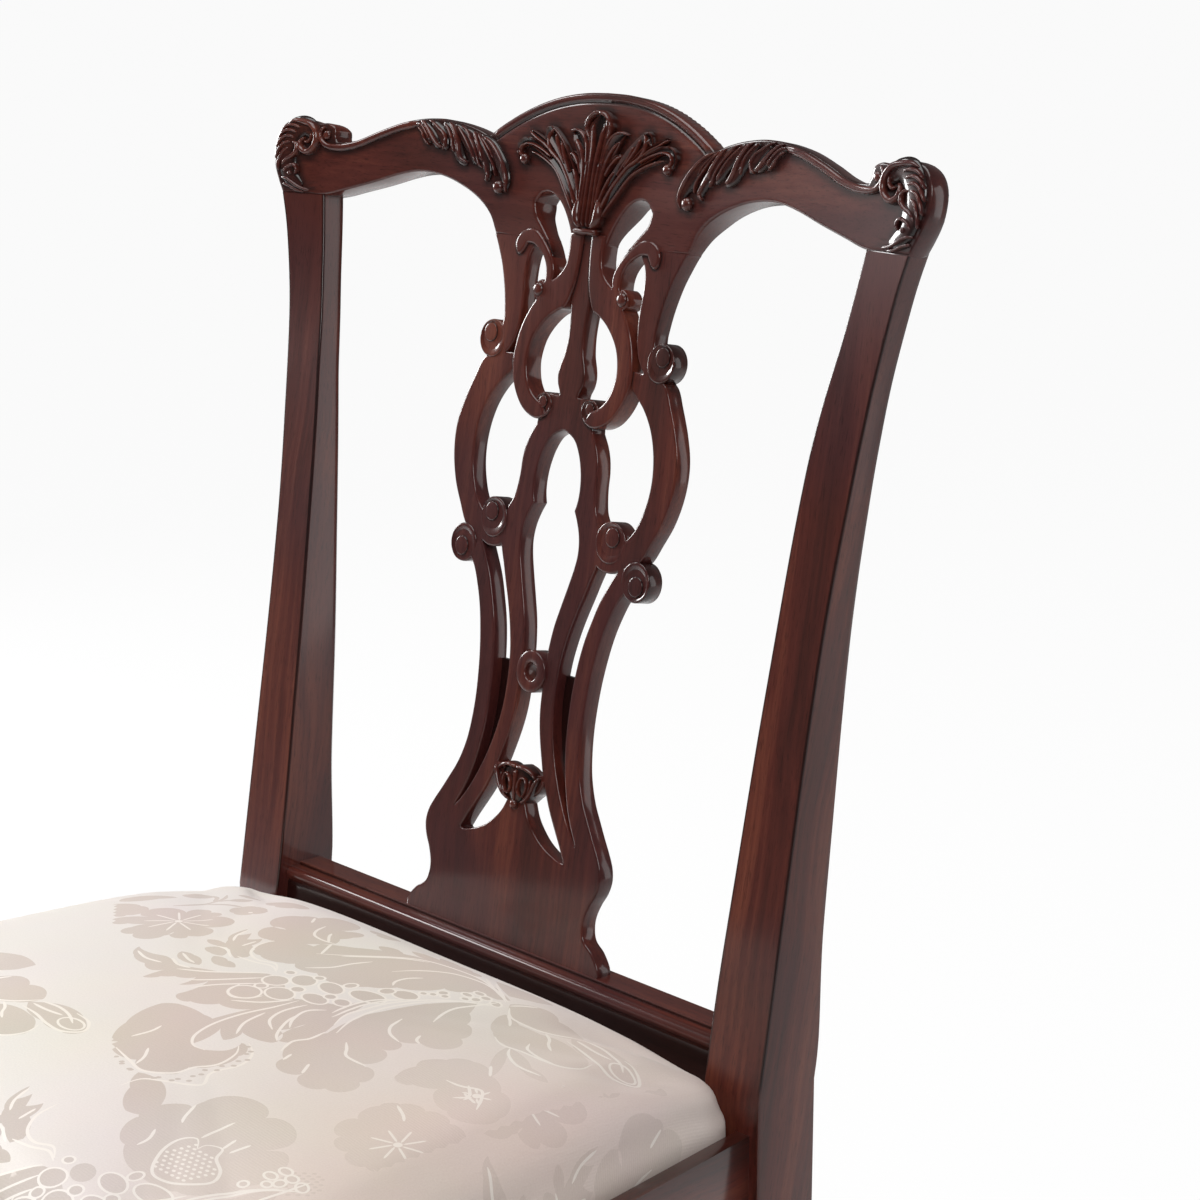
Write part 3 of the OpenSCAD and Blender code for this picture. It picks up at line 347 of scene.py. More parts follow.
# A board cut to loops: front and back heights follow from the distance to its rounded edges
def boardFrom(loops, place, front, rear, insets=(0.25, 0.7, 1.4, 2.1), lines=(), dots=(), square=None):
    rim = np.vstack([dense(p, True) for p in loops])
    if square is not None:
        rim = rim[~square(rim)]  # a joint keeps its square edge
    verts, edges = [], []
    for p in loops:
        addLine(verts, edges, p)
    for p in loops:
        inward = leftOf(np.roll(p, -1, 0) - np.roll(p, 1, 0))
        for inset in insets:
            q = p + inward * inset
            q = q[nearest(q, rim) > inset * 0.93]
            if len(q) > 3:
                addLine(verts, edges, q)
    for p in lines:
        if len(p) > 1:
            addLine(verts, edges, p, False)
    addLine(verts, [], dots)
    v, tris, middles = triangulated(verts, edges)
    v, solid = withoutLoose(v, [tri for tri, keep in zip(tris, insideOf(middles, loops)) if keep])
    d = nearest(v, rim)
    n = len(v)
    allVerts = np.vstack([place(v, front(v, d)), place(v, rear(v, d))])
    allFaces = solid + [[i + n for i in tri[::-1]] for tri in solid]
    allFaces += [[a, a + n, b + n, b] for a, b in rimOf(solid)]
    return allVerts, allFaces, v, d


def roundedEdge(d, width, drop):
    t = np.clip(1 - d / width, 0, 1)
    return -drop * (1 - np.sqrt(np.clip(1 - t * t, 0, 1)))


# Widths and depths of the rounded edges
rounding = {"splatFace": (1.3, 0.9), "bandFace": (1.8, 1.3), "crestFace": (2.2, 1.5), "behind": (1.6, 1.2)}
# Sections of carved strips: places across, from edge to edge, and the share of the height there
sections = {
    "round": ([-1, -0.92, -0.7, -0.38, 0, 0.38, 0.7, 0.92, 1], [0, 0.42, 0.74, 0.94, 1, 0.94, 0.74, 0.42, 0]),
    "flute": ([-1, -0.95, -0.8, -0.6, -0.3, 0, 0.3, 0.6, 0.8, 0.95, 1],
              [0, 0.7, 1, 0.82, 0.5, 0.4, 0.5, 0.82, 1, 0.7, 0])}


# A carved leaf, bead or stem: rows of x, s, width, height along its middle line. Shade is painted into the
# section's low parts, and dark paints more shade over the whole strip; sink is how deep it stands in the
# ground and tips says how full its two ends stay
def carvedStrip(rows, section, place, sink=0.9, tips=(0.0, 0.0), dark=0.0):
    p = curveThrough(rows, 1.2)
    across = leftOf(np.gradient(p[:, :2], axis=0))
    u, h = (np.array(c) for c in sections[section])
    t = np.linspace(0, 1, len(p))
    taper = np.sqrt(np.clip(t / 0.12 + tips[0], 0, 1)) * np.sqrt(np.clip((1 - t) / 0.12 + tips[1], 0, 1))
    verts, shade = [], []
    for i in range(len(p)):
        width, high = max(p[i, 2], 0.2) * (0.12 + 0.88 * taper[i]), p[i, 3] * (0.15 + 0.85 * taper[i])
        flat = p[i, :2] + np.outer(u * width / 2, across[i])
        flat = np.vstack([flat, flat[-1] * 0.8 + flat[0] * 0.2, flat[-1] * 0.2 + flat[0] * 0.8])
        lift = np.concatenate([h * high - (h == 0) * sink, [-sink, -sink]])
        verts.append(place(flat, lift))
        # painted shade: darkest in the section's low parts and at the sunk foot, more by dark
        shade.append(np.concatenate([np.clip((0.7 - h) * 1.7 + dark, 0, 1), [1, 1]]))
    v, faces = loft(verts)
    # the strip's left side is +across, so the faces turn outwards the other way round
    return v, [f[::-1] for f in faces], np.concatenate(shade)


# A domed bead; each ring: share of the radius, share of the height, painted shade (darkest at its foot)
def carvedKnob(centre, radius, high, place, base=0.0, count=20):
    rings = [(1.0, -0.9, 1), (0.99, 0.15, 0.8), (0.9, 0.55, 0.35), (0.72, 0.82, 0.1), (0.42, 0.97, 0)]
    verts = [place(circlePoints(centre, r * radius, count), np.full(count, base + (z * high if z > 0 else z)))
             for r, z, _ in rings]
    verts += [place(np.array([centre]), np.array([base + z])) for z in (high, -0.9)]
    foot = len(rings) * count + 1
    faces = cappedFaces(len(rings), count) + [[(j + 1) % count, j, foot] for j in range(count)]
    shade = np.concatenate([np.full(count, s) for _, _, s in rings] + [[0, 1]])
    return np.vstack(verts), faces, shade


# the last colour is for painted shade, laid into hollows, grooves and beside raised work
woodColors = {"dark": "#2c130e", "middle": "#51221a", "light": "#7c412e", "plum": "#3d2024",
              "pores": "#4a3a34", "glaze": "#0e0504"}
# At the joint of crest and splat the polisher's stain hides the change of grain
stainedJoint = {"z": 0.909, "reach": 0.05, "tone": 0.49, "leastFigure": 0.15}


# Mahogany, planed and stained red-brown under a satin lacquer: streaks along the grain, short dark pores.
# turn lays the grain along the piece, splay takes out its angle in plan, shift picks another part of the log
def mahogany(name, turn=(0, 0, 0), shift=(0, 0, 0), splay=0.0):
    material, tree = newMaterial(name)
    coords = addNode(tree, "ShaderNodeTexCoord").outputs["Object"]
    plan = addNode(tree, "ShaderNodeMapping", inputs={0: coords, "Rotation": (0, 0, splay)}).outputs[0]
    grain = addNode(tree, "ShaderNodeMapping", inputs={0: plan, "Rotation": turn,
                                                       "Location": shift}).outputs[0]
    bend = addNode(tree, "ShaderNodeVectorMath", {"operation": "MULTIPLY_ADD"},
                   {0: noiseAt(tree, grain, 6.0, 2.0).outputs["Color"], 1: (0.02, 0.02, 0.0),
                    2: grain}).outputs[0]

    def streaks(across, along, detail, rough=0.5):  # both in millimetres
        stretched = scaledBy(tree, bend, (1000 / across, 1000 / across, 1000 / along))
        return noiseAt(tree, stretched, 1.0, detail, rough).outputs[0]
    figure, ribbon, pores = streaks(34, 420, 2), streaks(3.6, 260, 4, 0.55), streaks(0.8, 9, 2)
    streaked = mixValues(tree, 0.34, figure, ribbon)
    height = addNode(tree, "ShaderNodeSeparateXYZ", inputs={0: coords}).outputs[2]
    fromJoint = mathOf(tree, "ABSOLUTE", mathOf(tree, "SUBTRACT", height, stainedJoint["z"]))
    clear = rangeOf(tree, fromJoint, stainedJoint["leastFigure"], 1.0, 0.0, stainedJoint["reach"])
    stained = rampOf(tree, mixValues(tree, clear, stainedJoint["tone"], streaked),
                     [(0.3, woodColors["dark"]), (0.5, woodColors["middle"]), (0.74, woodColors["light"])])
    plumShare = rangeOf(tree, noiseAt(tree, coords, 7.0, 1.0).outputs[0], 0.05, 0.5, 0.42, 0.62)
    tinted = mixColors(tree, plumShare, stained, hexColor(woodColors["plum"]))
    inPores = rangeOf(tree, pores, 0.0, 0.4, 0.56, 0.70)
    pored = mixColors(tree, inPores, tinted, hexColor(woodColors["pores"]), "MULTIPLY")
    # painted shade: an attribute on each piece darkens the wood towards that last colour in hollows and
    # grooves
    paintedShade = addNode(tree, "ShaderNodeAttribute", {"attribute_name": "paintedShade"}).outputs["Fac"]
    shadePainted = mixColors(tree, mathOf(tree, "MULTIPLY", paintedShade, 0.92), pored, hexColor(woodColors["glaze"]))
    bump = bumpOf(tree, 0.18, 0.0001, inPores, bumpOf(tree, 0.25, 0.0002, streaked), True)
    surfaceFrom(tree, shadePainted, rangeOf(tree, ribbon, 0.34, 0.42, 0.3, 0.7), bump,
                {"IOR": 1.5, "Specular IOR Level": 0.08, "Coat Weight": 0.85, "Coat Roughness": 0.12})
    return material


# Plain wood, metal and stuff for the pieces inside: two colours, mixed by a noise of a size in millimetres
def plainFinish(name, colors, size, roughness, metallic=0.0, bump=0.0002, sheen=0.0):
    material, tree = newMaterial(name)
    coords = addNode(tree, "ShaderNodeTexCoord").outputs["Object"]
    noise = noiseAt(tree, scaledBy(tree, coords, tuple(1000 / s for s in size)), 1.0, 4.0).outputs[0]
    color = rampOf(tree, noise, [(0.35, colors[0]), (0.68, colors[1])])
    surfaceFrom(tree, color, rangeOf(tree, noise, roughness - 0.06, roughness + 0.08),
                bumpOf(tree, 0.4, bump, noise), {"Metallic": metallic, "Sheen Weight": sheen})
    return material


# Two sets of threads, apart in millimetres
def threadWaves(tree, vector, apart, distortion, detailScale):
    return [addNode(tree, "ShaderNodeTexWave", {"bands_direction": axis}, {
        "Vector": vector, "Scale": 1000 / apart / 20 * math.pi, "Distortion": distortion, "Detail": 1.0,
        "Detail Scale": detailScale}).outputs["Fac"] for axis in ("X", "Y")]


# Plain weave; threadShare is how much the threads add to the noise's two colours
def wovenFinish(name, colors, thread, roughness, threadShare=0.35):
    material, tree = newMaterial(name)
    coords = addNode(tree, "ShaderNodeTexCoord").outputs["Object"]
    weave = mathOf(tree, "MULTIPLY", *threadWaves(tree, coords, thread, 0.6, 4.0))
    noise = noiseAt(tree, coords, 90.0, 5.0).outputs[0]
    color = rampOf(tree, mathOf(tree, "MULTIPLY_ADD", weave, threadShare, noise),
                   [(0.4, colors[0]), (0.85, colors[1])])
    surfaceFrom(tree, color, roughness, bumpOf(tree, 0.6, 0.0004, weave), {"Sheen Weight": 0.15})
    return material


# Cotton and silk damask, jacquard woven: ivory satin ground, taupe figures in the matt weave, cream outlines
figureWeave, lineWeave = 1.0, 2.0
damaskColors = {"satin": ("#d3cac3", "#e2dad3"), "rosySatin": ("#cdb9ae", "#d9c8be"),
                "figure": ("#b8a99e", "#c8bab0"), "line": "#e4dbd2"}


def damaskCloth(name):
    material, tree = newMaterial(name)
    flat = addNode(tree, "ShaderNodeUVMap", {"uv_map": "cloth"}).outputs[0]
    weave = addNode(tree, "ShaderNodeAttribute", {"attribute_name": "weave"}).outputs["Fac"]
    inFigure, onLine = (mathOf(tree, "COMPARE", weave, kind, 0.5) for kind in (figureWeave, lineWeave))
    twist = noiseAt(tree, flat, 900.0, 2.0).outputs[0]
    cloudy = noiseAt(tree, flat, 7.0, 3.0).outputs["Color"]
    # threads are 0.35 mm apart on the real cloth and drawn 0.9 mm apart, so that they show
    warp, weft = threadWaves(tree, flat, 0.9, 1.5, 3.0)

    def tone(which):
        return mixColors(tree, twist, *(hexColor(color) for color in damaskColors[which]))
    # towards the chair's left the figures are painted fainter: a painted sheen where the matt weave turns to
    # the light
    across = addNode(tree, "ShaderNodeSeparateXYZ", inputs={0: flat}).outputs[0]
    figureShare = mathOf(tree, "MULTIPLY", inFigure, rangeOf(tree, across, 1.0, 0.42, 0.08, 0.2))
    satin = mixColors(tree, rangeOf(tree, across, 0.0, 0.7, 0.06, 0.22), tone("satin"), tone("rosySatin"))
    figured = mixColors(tree, figureShare, satin, tone("figure"))
    lined = mixColors(tree, onLine, figured, hexColor(damaskColors["line"]))
    color = mixColors(tree, 0.2, lined, cloudy, "SOFT_LIGHT")
    threads = mixValues(tree, inFigure, warp, weft)
    bump = bumpOf(tree, 0.3, 0.00012, mathOf(tree, "MULTIPLY_ADD", twist, 0.8, threads))
    surfaceFrom(tree, color, rangeOf(tree, inFigure, 0.5, 0.65), bump,
                {"Sheen Weight": 0.15, "Sheen Roughness": 0.4})
    return material


woodUp = mahogany("mahoganyBack", (back["rake"], 0, 0))
woodLeg = mahogany("mahoganyLegs", shift=(0.3, 0.1, 0))
woodAcross = mahogany("mahoganyRails", (0, math.pi / 2, 0), (0.1, 0.2, 0))
woodCrest = mahogany("mahoganyCrest", (0, math.pi / 2, 0), (0, 0.4, 0.2))
bothNames = ((-1, "Left"), (1, "Right"))
woodSides = {side: mahogany("mahoganySideRail" + name, (math.pi / 2, 0, 0), (0.2, 0.1, 0),
                            side * math.radians(-7.8))
             for side, name in bothNames}
# Materials of the pieces inside, each named for the real one
beech = plainFinish("beechUnfinished", ("#b08a5e", "#cfae80"), (3, 60, 3), 0.62)
pegWood = plainFinish("pegWood", ("#2c1510", "#48251a"), (30, 1.5, 1.5), 0.45)
steel = plainFinish("steelZincPlated", ("#a9a59d", "#cfccc6"), (2, 2, 2), 0.3, 1.0, 0.00003)
bluedSteel = plainFinish("steelTackBlued", ("#1c1c20", "#3a3a40"), (1.5, 1.5, 1.5), 0.38, 1.0, 0.00003)
jute = wovenFinish("juteWebbing", ("#7d6645", "#b39a70"), 2.2, 0.85)
hessian = wovenFinish("hessianOpenWeave", ("#8a7350", "#bfa67c"), 1.4, 0.88)
wadding = plainFinish("cottonWadding", ("#e4dfd2", "#f4f1e8"), (9, 9, 6), 0.95, 0, 0.0008, 0.3)
cambric = wovenFinish("blackCambric", ("#0b0b0c", "#1e1e20"), 0.9, 0.8)
damask = damaskCloth("damaskIvoryTaupe")
print("materials made")

# Splat: right half as drawn on its face, across and up from the shoe
footEdge = [[92.5, 0], [91.5, 6], [85, 13.5], [77, 19], [74.3, 26], [74.5, 33], [77.5, 41], [82, 49],
            [84, 57], [82.5, 65], [78, 73]]
footTop = [[52, 64], [48, 60.5], [37, 63], [27, 67.5], [19, 73.5], [12.5, 80.5], [8, 89], [4, 96]]
outerLowOut = [[84, 57], [82.5, 65], [78, 73], [72.5, 81], [67, 89.5], [61, 99], [56.5, 109], [53.3, 120],
               [51.3, 135], [50.8, 150], [51.8, 168], [54, 184], [57.5, 200], [62, 213], [68, 225.5],
               [74, 232]]
outerLowIn = [[63, 62], [58, 73], [51.5, 84], [46.5, 95], [42.3, 108], [39.5, 121], [37.7, 135],
              [37.2, 150], [37.6, 165], [39.3, 181], [42.3, 196], [46.5, 209], [51.5, 222], [57.5, 233],
              [64, 243], [72, 249]]
innerLowIn = [[53, 56], [49.5, 61], [44, 70], [37.5, 79.5], [31, 89.5], [25.5, 100], [21, 110], [17.5, 120],
              [14.4, 130], [11.9, 141], [10.7, 152], [10.6, 165], [10.8, 178], [11.6, 188], [13.8, 201],
              [17.6, 214], [22, 228], [25.4, 240], [26.6, 249], [25.5, 258], [22.5, 266], [18.7, 273]]
innerLowOut = [[62, 66], [58, 73], [53, 78.5], [47, 86.5], [41.5, 95.5], [36, 106], [31.5, 116.5],
               [27.6, 128], [24.6, 140], [23, 154], [22.9, 168], [23.9, 180], [26, 190.5], [28.7, 200.5],
               [32.3, 211], [36.6, 222], [40.3, 232], [44, 241.5], [46, 252], [44, 263], [41, 269]]
archIn = [[18.7, 273], [20.5, 280], [20.8, 288], [19.5, 297], [16, 307], [10, 315.5], [0, 320.5]]
archOut = [[44, 266], [41, 270], [38, 275], [36.3, 282], [35.3, 290], [35, 299], [33, 308.5], [28.5, 317.5],
           [20, 327], [0, 336]]
husk = [[0, 111.5], [5, 110.5], [10, 108.5], [15, 108], [22, 109], [23, 104], [20, 98], [14.5, 94],
        [10, 90], [5, 86], [0, 84]]
spindle = [[8.5, 398], [7.2, 385], [7.2, 376], [8.5, 367], [11, 360], [12.2, 354], [11.3, 348],
           [8.7, 342.5], [8.7, 336]]
saddle = [[26, 320], [24, 334], [20, 341], [-20, 341], [-24, 334], [-26, 320]]
eyeOut = [[15.8, 440], [15.3, 428], [16.8, 420], [22, 413.5], [30, 408], [37, 400.5], [43, 393], [48, 385],
          [51.7, 376], [54, 366], [54.5, 356], [52, 346], [46.8, 336.5], [39.5, 329], [31, 325],
          [24, 324.5], [18, 327]]
eyeIn = [[3.5, 440], [4.2, 425], [6.2, 410], [9.5, 400], [13, 394], [17, 392.5], [25, 388], [32.5, 381],
         [37.7, 373.5], [40.5, 365], [41, 357], [38.7, 348], [34.5, 341.5], [29, 337], [22, 334]]
loopOut = [[74, 362], [84, 356], [90, 345], [97, 330], [101.5, 316], [102.6, 303], [100.7, 289], [96, 275],
           [89, 262.5], [83, 252.5], [76, 246]]
loopIn = [[50, 362], [56, 351], [67, 341], [75, 330], [80, 317.5], [82.2, 304.5], [81.8, 292.5], [79, 281],
          [74, 270], [66.5, 262], [56, 257]]
neck = [[41, 262], [43, 246], [47.5, 241.5], [57, 240.5], [64, 243], [74, 248], [80, 256], [66, 262],
        [55, 268]]
outerTopOut = [[94, 445], [89.7, 437], [86.5, 432], [82.5, 425], [77.5, 415], [73, 402], [70.5, 391],
               [69.5, 382], [72, 372]]
outerTopIn = [[44, 445], [48, 431], [52.6, 423], [54, 411], [53, 400], [53, 388], [54.5, 377],
              [58.5, 367.5], [65, 361], [76, 359]]
hook = [[54.6, 430.8], [56.7, 427.5], [58.7, 424.7], [61.8, 423.3], [64.4, 425.2], [65.5, 429.2],
        [64.8, 433], [61.2, 437.2], [54.8, 439.6], [47.3, 438.8], [40.3, 434], [33, 427], [28, 419.5],
        [26.8, 413.5], [28.3, 408], [31.3, 403.4], [35.5, 399.4], [39.7, 397.3], [42.6, 399.6],
        [43.2, 403.6], [41, 407.4], [37, 409.5], [34.6, 408.2], [33.9, 411], [34.3, 415.8], [36.3, 420.9],
        [41, 426.3], [48.9, 430.4], [54.6, 430.8]]
hookFill = [[28, 416], [28, 440], [46, 440], [46, 436], [34, 424]]
kidney = [[53, 456], [49, 461], [43, 463], [35, 461], [28, 455.5], [21, 446], [16.2, 436], [15.2, 428],
          [16.6, 420], [20.5, 414.6], [25, 414.2], [28.2, 417], [31, 425], [36, 433], [43.5, 441],
          [50.5, 448.5], [53, 456]]
# volutes: middle, radius, the eye's place and radius as shares of it, and where the strap runs in, in degrees
volutes = {"outer": ((77.3, 369.3), 11.9, (0.14, 0.3), 0.5, 150),
           "inner": ((21.3, 334), 7.6, (0.05, 0.2), 0.5, -30),
           "upper": ((54.5, 259), 12.8, (0.14, 0.26), 0.47, -10),
           "lower": ((80.3, 239), 12.3, (0.1, -0.2), 0.5, 225)}
ring = {"centre": (0, 170.3), "radius": 13.2, "hole": 5.5}


# A strap between its two edges; slim draws both in, where a proud band lies on it
def strapShape(outer, inner, slim=0.0):
    a, b = curveThrough(outer), curveThrough(inner)
    if slim:
        for p, other in ((a, b), (b, a)):
            side = leftOf(np.gradient(p, axis=0))
            middle = other[len(other) // 2] - p[len(p) // 2]
            p += side * slim * np.sign(np.dot(side[len(p) // 2], middle))
    return np.vstack([a, b[::-1]])


def insetLoop(p, by):
    p = p if signedArea(p) > 0 else p[::-1]
    return p + by * leftOf(np.roll(p, -1, 0) - np.roll(p, 1, 0))


def flipped(rows, side):
    return [(side * x, *rest) for x, *rest in rows]


def bothSides(shapes):
    return [q for p in shapes for q in (np.asarray(p, float), mirrored(p))]


def belowJoin(p, limit=back["joinS"]):
    out = []
    for a, b in zip(p, np.roll(p, -1, 0)):
        if a[1] <= limit:
            out.append(a)
        if (a[1] - limit) * (b[1] - limit) < 0:
            out.append(a + (b - a) * (limit - a[1]) / (b[1] - a[1]))
    return np.array(out)


def atJoin(p):
    return abs(p[:, 1] - back["joinS"]) < 0.02


hookShape = curveThrough(hook)[:-1]
footShape = np.vstack([[[92.5, -4]], curveThrough(footEdge), [[58, 73]], curveThrough(footTop),
                       [[-1, 96], [-1, -4]]])
flatShapes = [footShape, strapShape(outerLowOut, outerLowIn), strapShape(innerLowOut, innerLowIn),
              strapShape(archOut, archIn), strapShape(loopOut, loopIn), strapShape(outerTopOut, outerTopIn),
              np.vstack([curveThrough(husk), [[-1, 84], [-1, 111.5]]]),
              np.vstack([curveThrough(spindle), [[-1, 336], [-1, 440], [7, 440]]]), np.array(saddle, float),
              curveThrough(neck), strapShape(eyeOut, eyeIn, 0.3), insetLoop(hookShape, 0.3),
              np.array(hookFill, float)]
flatShapes += [circlePoints(c, r - 0.4) for c, r, *_ in volutes.values()]
kidneyShape = curveThrough(kidney)[:-1]
ringDisc, ringHole = (circlePoints(ring["centre"], r) for r in (ring["radius"] - 0.4, ring["hole"] + 0.4))
splatLoops = outlineOf([belowJoin(p) for p in bothSides(flatShapes)] + [ringDisc],
                       bothSides([kidneyShape]) + [ringHole])
depth = back["splatThick"]
proud = [belowJoin(p, 440) for p in bothSides([strapShape(eyeOut, eyeIn), hookShape])]
proudLoops = outlineOf(proud, [])
besideBands = [np.vstack([q, q[:1]]) for p in proudLoops if signedArea(p) > 0
               for q in (insetLoop(p, -0.5), insetLoop(p, -2.2))]
v, f, flat, d = boardFrom(splatLoops, onSplat, lambda p, d: roundedEdge(d, *rounding["splatFace"]),
                          lambda p, d: -depth - roundedEdge(d, *rounding["behind"]),
                          lines=besideBands, square=atJoin)
toBand = nearest(flat, np.vstack([dense(p, True) for p in proudLoops]))
# painted shade on the board along the foot of the proud bands
shadePainted = 0.9 * (1 - smoothStep(0.6, 2.2, toBand))
makePiece("splatBoard", v, f, woodUp, ("splat",),
          values={"paintedShade": np.append(shadePainted, 0 * shadePainted)})
print("splat board", len(v), len(f))

# The proud bands lie over the board with their lower halves sunk in it
v, f, flat, d = boardFrom(proudLoops, onSplat,
                          lambda p, d: back["bandLift"] + roundedEdge(d, *rounding["bandFace"]),
                          lambda p, d: -depth + 0.6 + 0 * d, square=atJoin)
makePiece("splatBands", v, f, woodUp)


# A volute: a disc whose face sinks towards a flat eye that stands off its middle
def voluteDisc(centre, radius, eye, eyeShare, strapAt, side, proud=0.8, deep=2.0, count=72):
    low = -depth + 0.3
    a = np.arange(count) * 2 * math.pi / count
    about = roundAbout(count)
    middle = np.array([side * centre[0], centre[1]])
    eyeMiddle, eyeRadius = middle + radius * np.array([side * eye[0], eye[1]]), radius * eyeShare
    away = math.atan2(-eye[1], -side * eye[0])  # the face is widest, and sinks deepest, away from the eye
    toStrap = smoothStep(0.25, 0.92, np.cos(a - math.radians(strapAt if side > 0 else 180 - strapAt)))
    top = 0.06 + (proud - 0.06) * (1 - toStrap)  # the face runs out into its strap
    sunk = deep * (0.45 + 0.55 * (1 + np.cos(a - away)) / 2) * (1 - 0.7 * toStrap)
    verts, shade = [], []

    def addRing(share, inset, lift, dark):
        c, r = middle + (eyeMiddle - middle) * share, radius + (eyeRadius - radius) * share - inset
        verts.append(onSplat(c + r * about, lift + np.zeros(count)))
        shade.append(dark + np.zeros(count))
    # the last value of each ring is painted shade: at the disc's rim, deeper in its sunk face and at the foot
    # of the eye's wall
    for inset, lift, dark in ((0.9, low, 0.2), (0, low + 0.9, 0.1), (0, top - 1.0, 0.8 * (1 - toStrap)),
                              (0.15, top - 0.45, 0.4 * (1 - toStrap)), (0.5, top - 0.12, 0), (1.0, top, 0)):
        addRing(0, inset, lift, dark)
    for share in (0.2, 0.35, 0.5, 0.65, 0.78, 0.89, 0.96):
        fall = float(smoothStep(0.1, 1.0, share))
        addRing(share, 0, top - sunk * fall, 0.95 * fall ** 2 * sunk / deep)
    for inset, lift, dark in ((0, -0.5, 1.0), (0.1, 0.0, 0.7), (0.35, 0.22, 0.2), (0.8, 0.3, 0),
                              (2.2, 0.34, 0)):
        addRing(1, inset, proud + lift, dark)
    n = len(verts)
    verts += [onSplat(p[None], np.array([z])) for p, z in ((eyeMiddle, proud + 0.34), (middle, low))]
    faces = cappedFaces(n, count) + [[(j + 1) % count, j, n * count + 1] for j in range(count)]
    return np.vstack(verts), faces, np.concatenate(shade + [[0, 0.5]])


parts = [voluteDisc(*volute, side) for volute in volutes.values() for side in (1, -1)]
# The ring: radius and lift round its section
rows = [(ring["radius"] - 0.8, -depth + 0.3), (ring["radius"], -depth + 1.1), (ring["radius"], 1.2),
        (ring["radius"] - 0.3, 1.75), (ring["radius"] - 1.0, 2.0), (ring["hole"] + 1.1, 2.0),
        (ring["hole"] + 0.3, 1.6), (ring["hole"], 0.8), (ring["hole"], -depth + 1.1),
        (ring["hole"] + 0.8, -depth + 0.3)]
v = np.vstack([onSplat(circlePoints(ring["centre"], r, 56), np.full(56, z)) for r, z in rows])
f = [[i % len(v) for i in face] for face in bandFaces(len(rows) + 1, 56)]
parts.append((v, f, np.zeros(len(v))))

# The husk above the foot: two oval petals side by side on a body darkened with painted shade, rolled at the
# top, with a small bead
huskBody = [(0, 87, 6, 1.2), (0, 93, 16, 2.0), (0, 100, 25, 2.4), (0, 107, 28, 2.4), (0, 111, 14, 2.0)]
huskStem = [(0, 88, 2.2, 2.6), (0, 96, 2.4, 4.0), (0, 104, 3.0, 4.6), (0, 109, 3.2, 4.6)]
huskSides = {
    "oval": [(5.9, 92.4, 2.0, 4.0), (3.5, 96, 2.1, 4.6), (3.7, 100.4, 2.1, 4.8), (6.2, 104.2, 2.1, 4.8),
             (9, 104.6, 2.1, 4.6), (10.9, 101.4, 2.1, 4.4), (10.6, 97, 2.0, 4.2), (8.6, 93.4, 2.0, 4.0),
             (5.6, 92.3, 1.8, 3.8)],
    "rolledTop": [(0, 110.2, 3.0, 4.6), (5, 110.9, 3.4, 5.2), (10.5, 110.2, 3.4, 5.0),
                  (15, 108.2, 2.6, 4.0), (17.5, 105.5, 1.8, 3.0)],
    "outerLeaf": [(5.5, 88.6, 1.8, 2.4), (11, 91.6, 2.4, 3.4), (15, 96.6, 2.8, 4.0), (17.4, 102, 2.8, 4.2),
                  (20.6, 107.4, 2.2, 3.6)],
    "innerLeaf": [(8.5, 90.8, 1.2, 2.6), (12.4, 95.2, 1.5, 3.4), (13.8, 100.2, 1.5, 3.6),
                  (13.4, 104.8, 1.5, 3.4)]}
parts.append(carvedStrip(huskBody, "round", onSplat, dark=1.0))
parts.append(carvedStrip(huskStem, "round", onSplat, sink=3.0))
parts += [carvedStrip(flipped(rows, side), "round", onSplat, sink=3.0, tips=(0.3, 0.2))
          for rows in huskSides.values() for side in (1, -1)]
parts.append(carvedKnob((0, 86.6), 3.2, 3.6, onSplat, 0))
parts += [carvedKnob((side * 38.2, 403.2), 4.4, 2.2, onSplat, 1.0) for side in (1, -1)]
v, f, r = joinParts(parts)
makePiece("splatCarving", v, f, woodUp, values={"paintedShade": r}, sharp=50)

# The thin web behind the splat's lower slots, its colour darkened with painted shade as it lies deep in them
web = np.vstack([curveThrough([[66, 73], [52, 95], [46, 121], [44, 150], [45, 172]]),
                 curveThrough([[17, 172], [17, 152], [21, 128], [30, 106], [44, 84], [56, 68]])])
webLoops = outlineOf(bothSides([web]), [])
v, f, flat, d = boardFrom(webLoops, onSplat, lambda p, d: -depth + back["webThick"] + 0 * d,
                          lambda p, d: -depth + 0.4 + 0 * d, insets=())
makePiece("splatWeb", v, f, woodUp, values={"paintedShade": np.full(len(v), 0.9)})
print("splat made")

# Crest: right half in the same frame
archTop = [[0, 525], [20, 524.3], [40, 521.5], [58, 516.7], [75, 510], [91, 501.8], [101.5, 495]]
wingTop = [[101.5, 495], [112, 498.7], [125, 501.8], [140, 503.8], [152, 504], [166, 503], [182, 500],
           [200, 494.3], [216, 488.5], [228, 485.8], [238, 485.5]]
ear = [[240, 489], [241, 494.5], [247, 497.3], [257, 497.2], [267, 499.3], [277, 499.5], [286, 496],
       [291.5, 488.5], [293, 479], [291.3, 468], [286.5, 458], [281.6, 450]]
crestLow = [[245.5, 450], [237, 451.4], [225, 454.5], [202, 460.2], [182, 465.8], [166, 469], [152, 469.4],
            [138, 467.6], [125, 464], [112, 458.6], [102, 452.6], [94.5, 445.5], [90, 437.8], [87.7, 434]]
crestHalf = np.vstack([curveThrough(archTop), curveThrough(wingTop)[1:], curveThrough(ear),
                       curveThrough(crestLow), [[-1, 434], [-1, 525]]])
crestHalf[:, 1] = np.maximum(crestHalf[:, 1], back["joinS"])
crestLoops = outlineOf(bothSides([crestHalf]), bothSides([kidneyShape]))
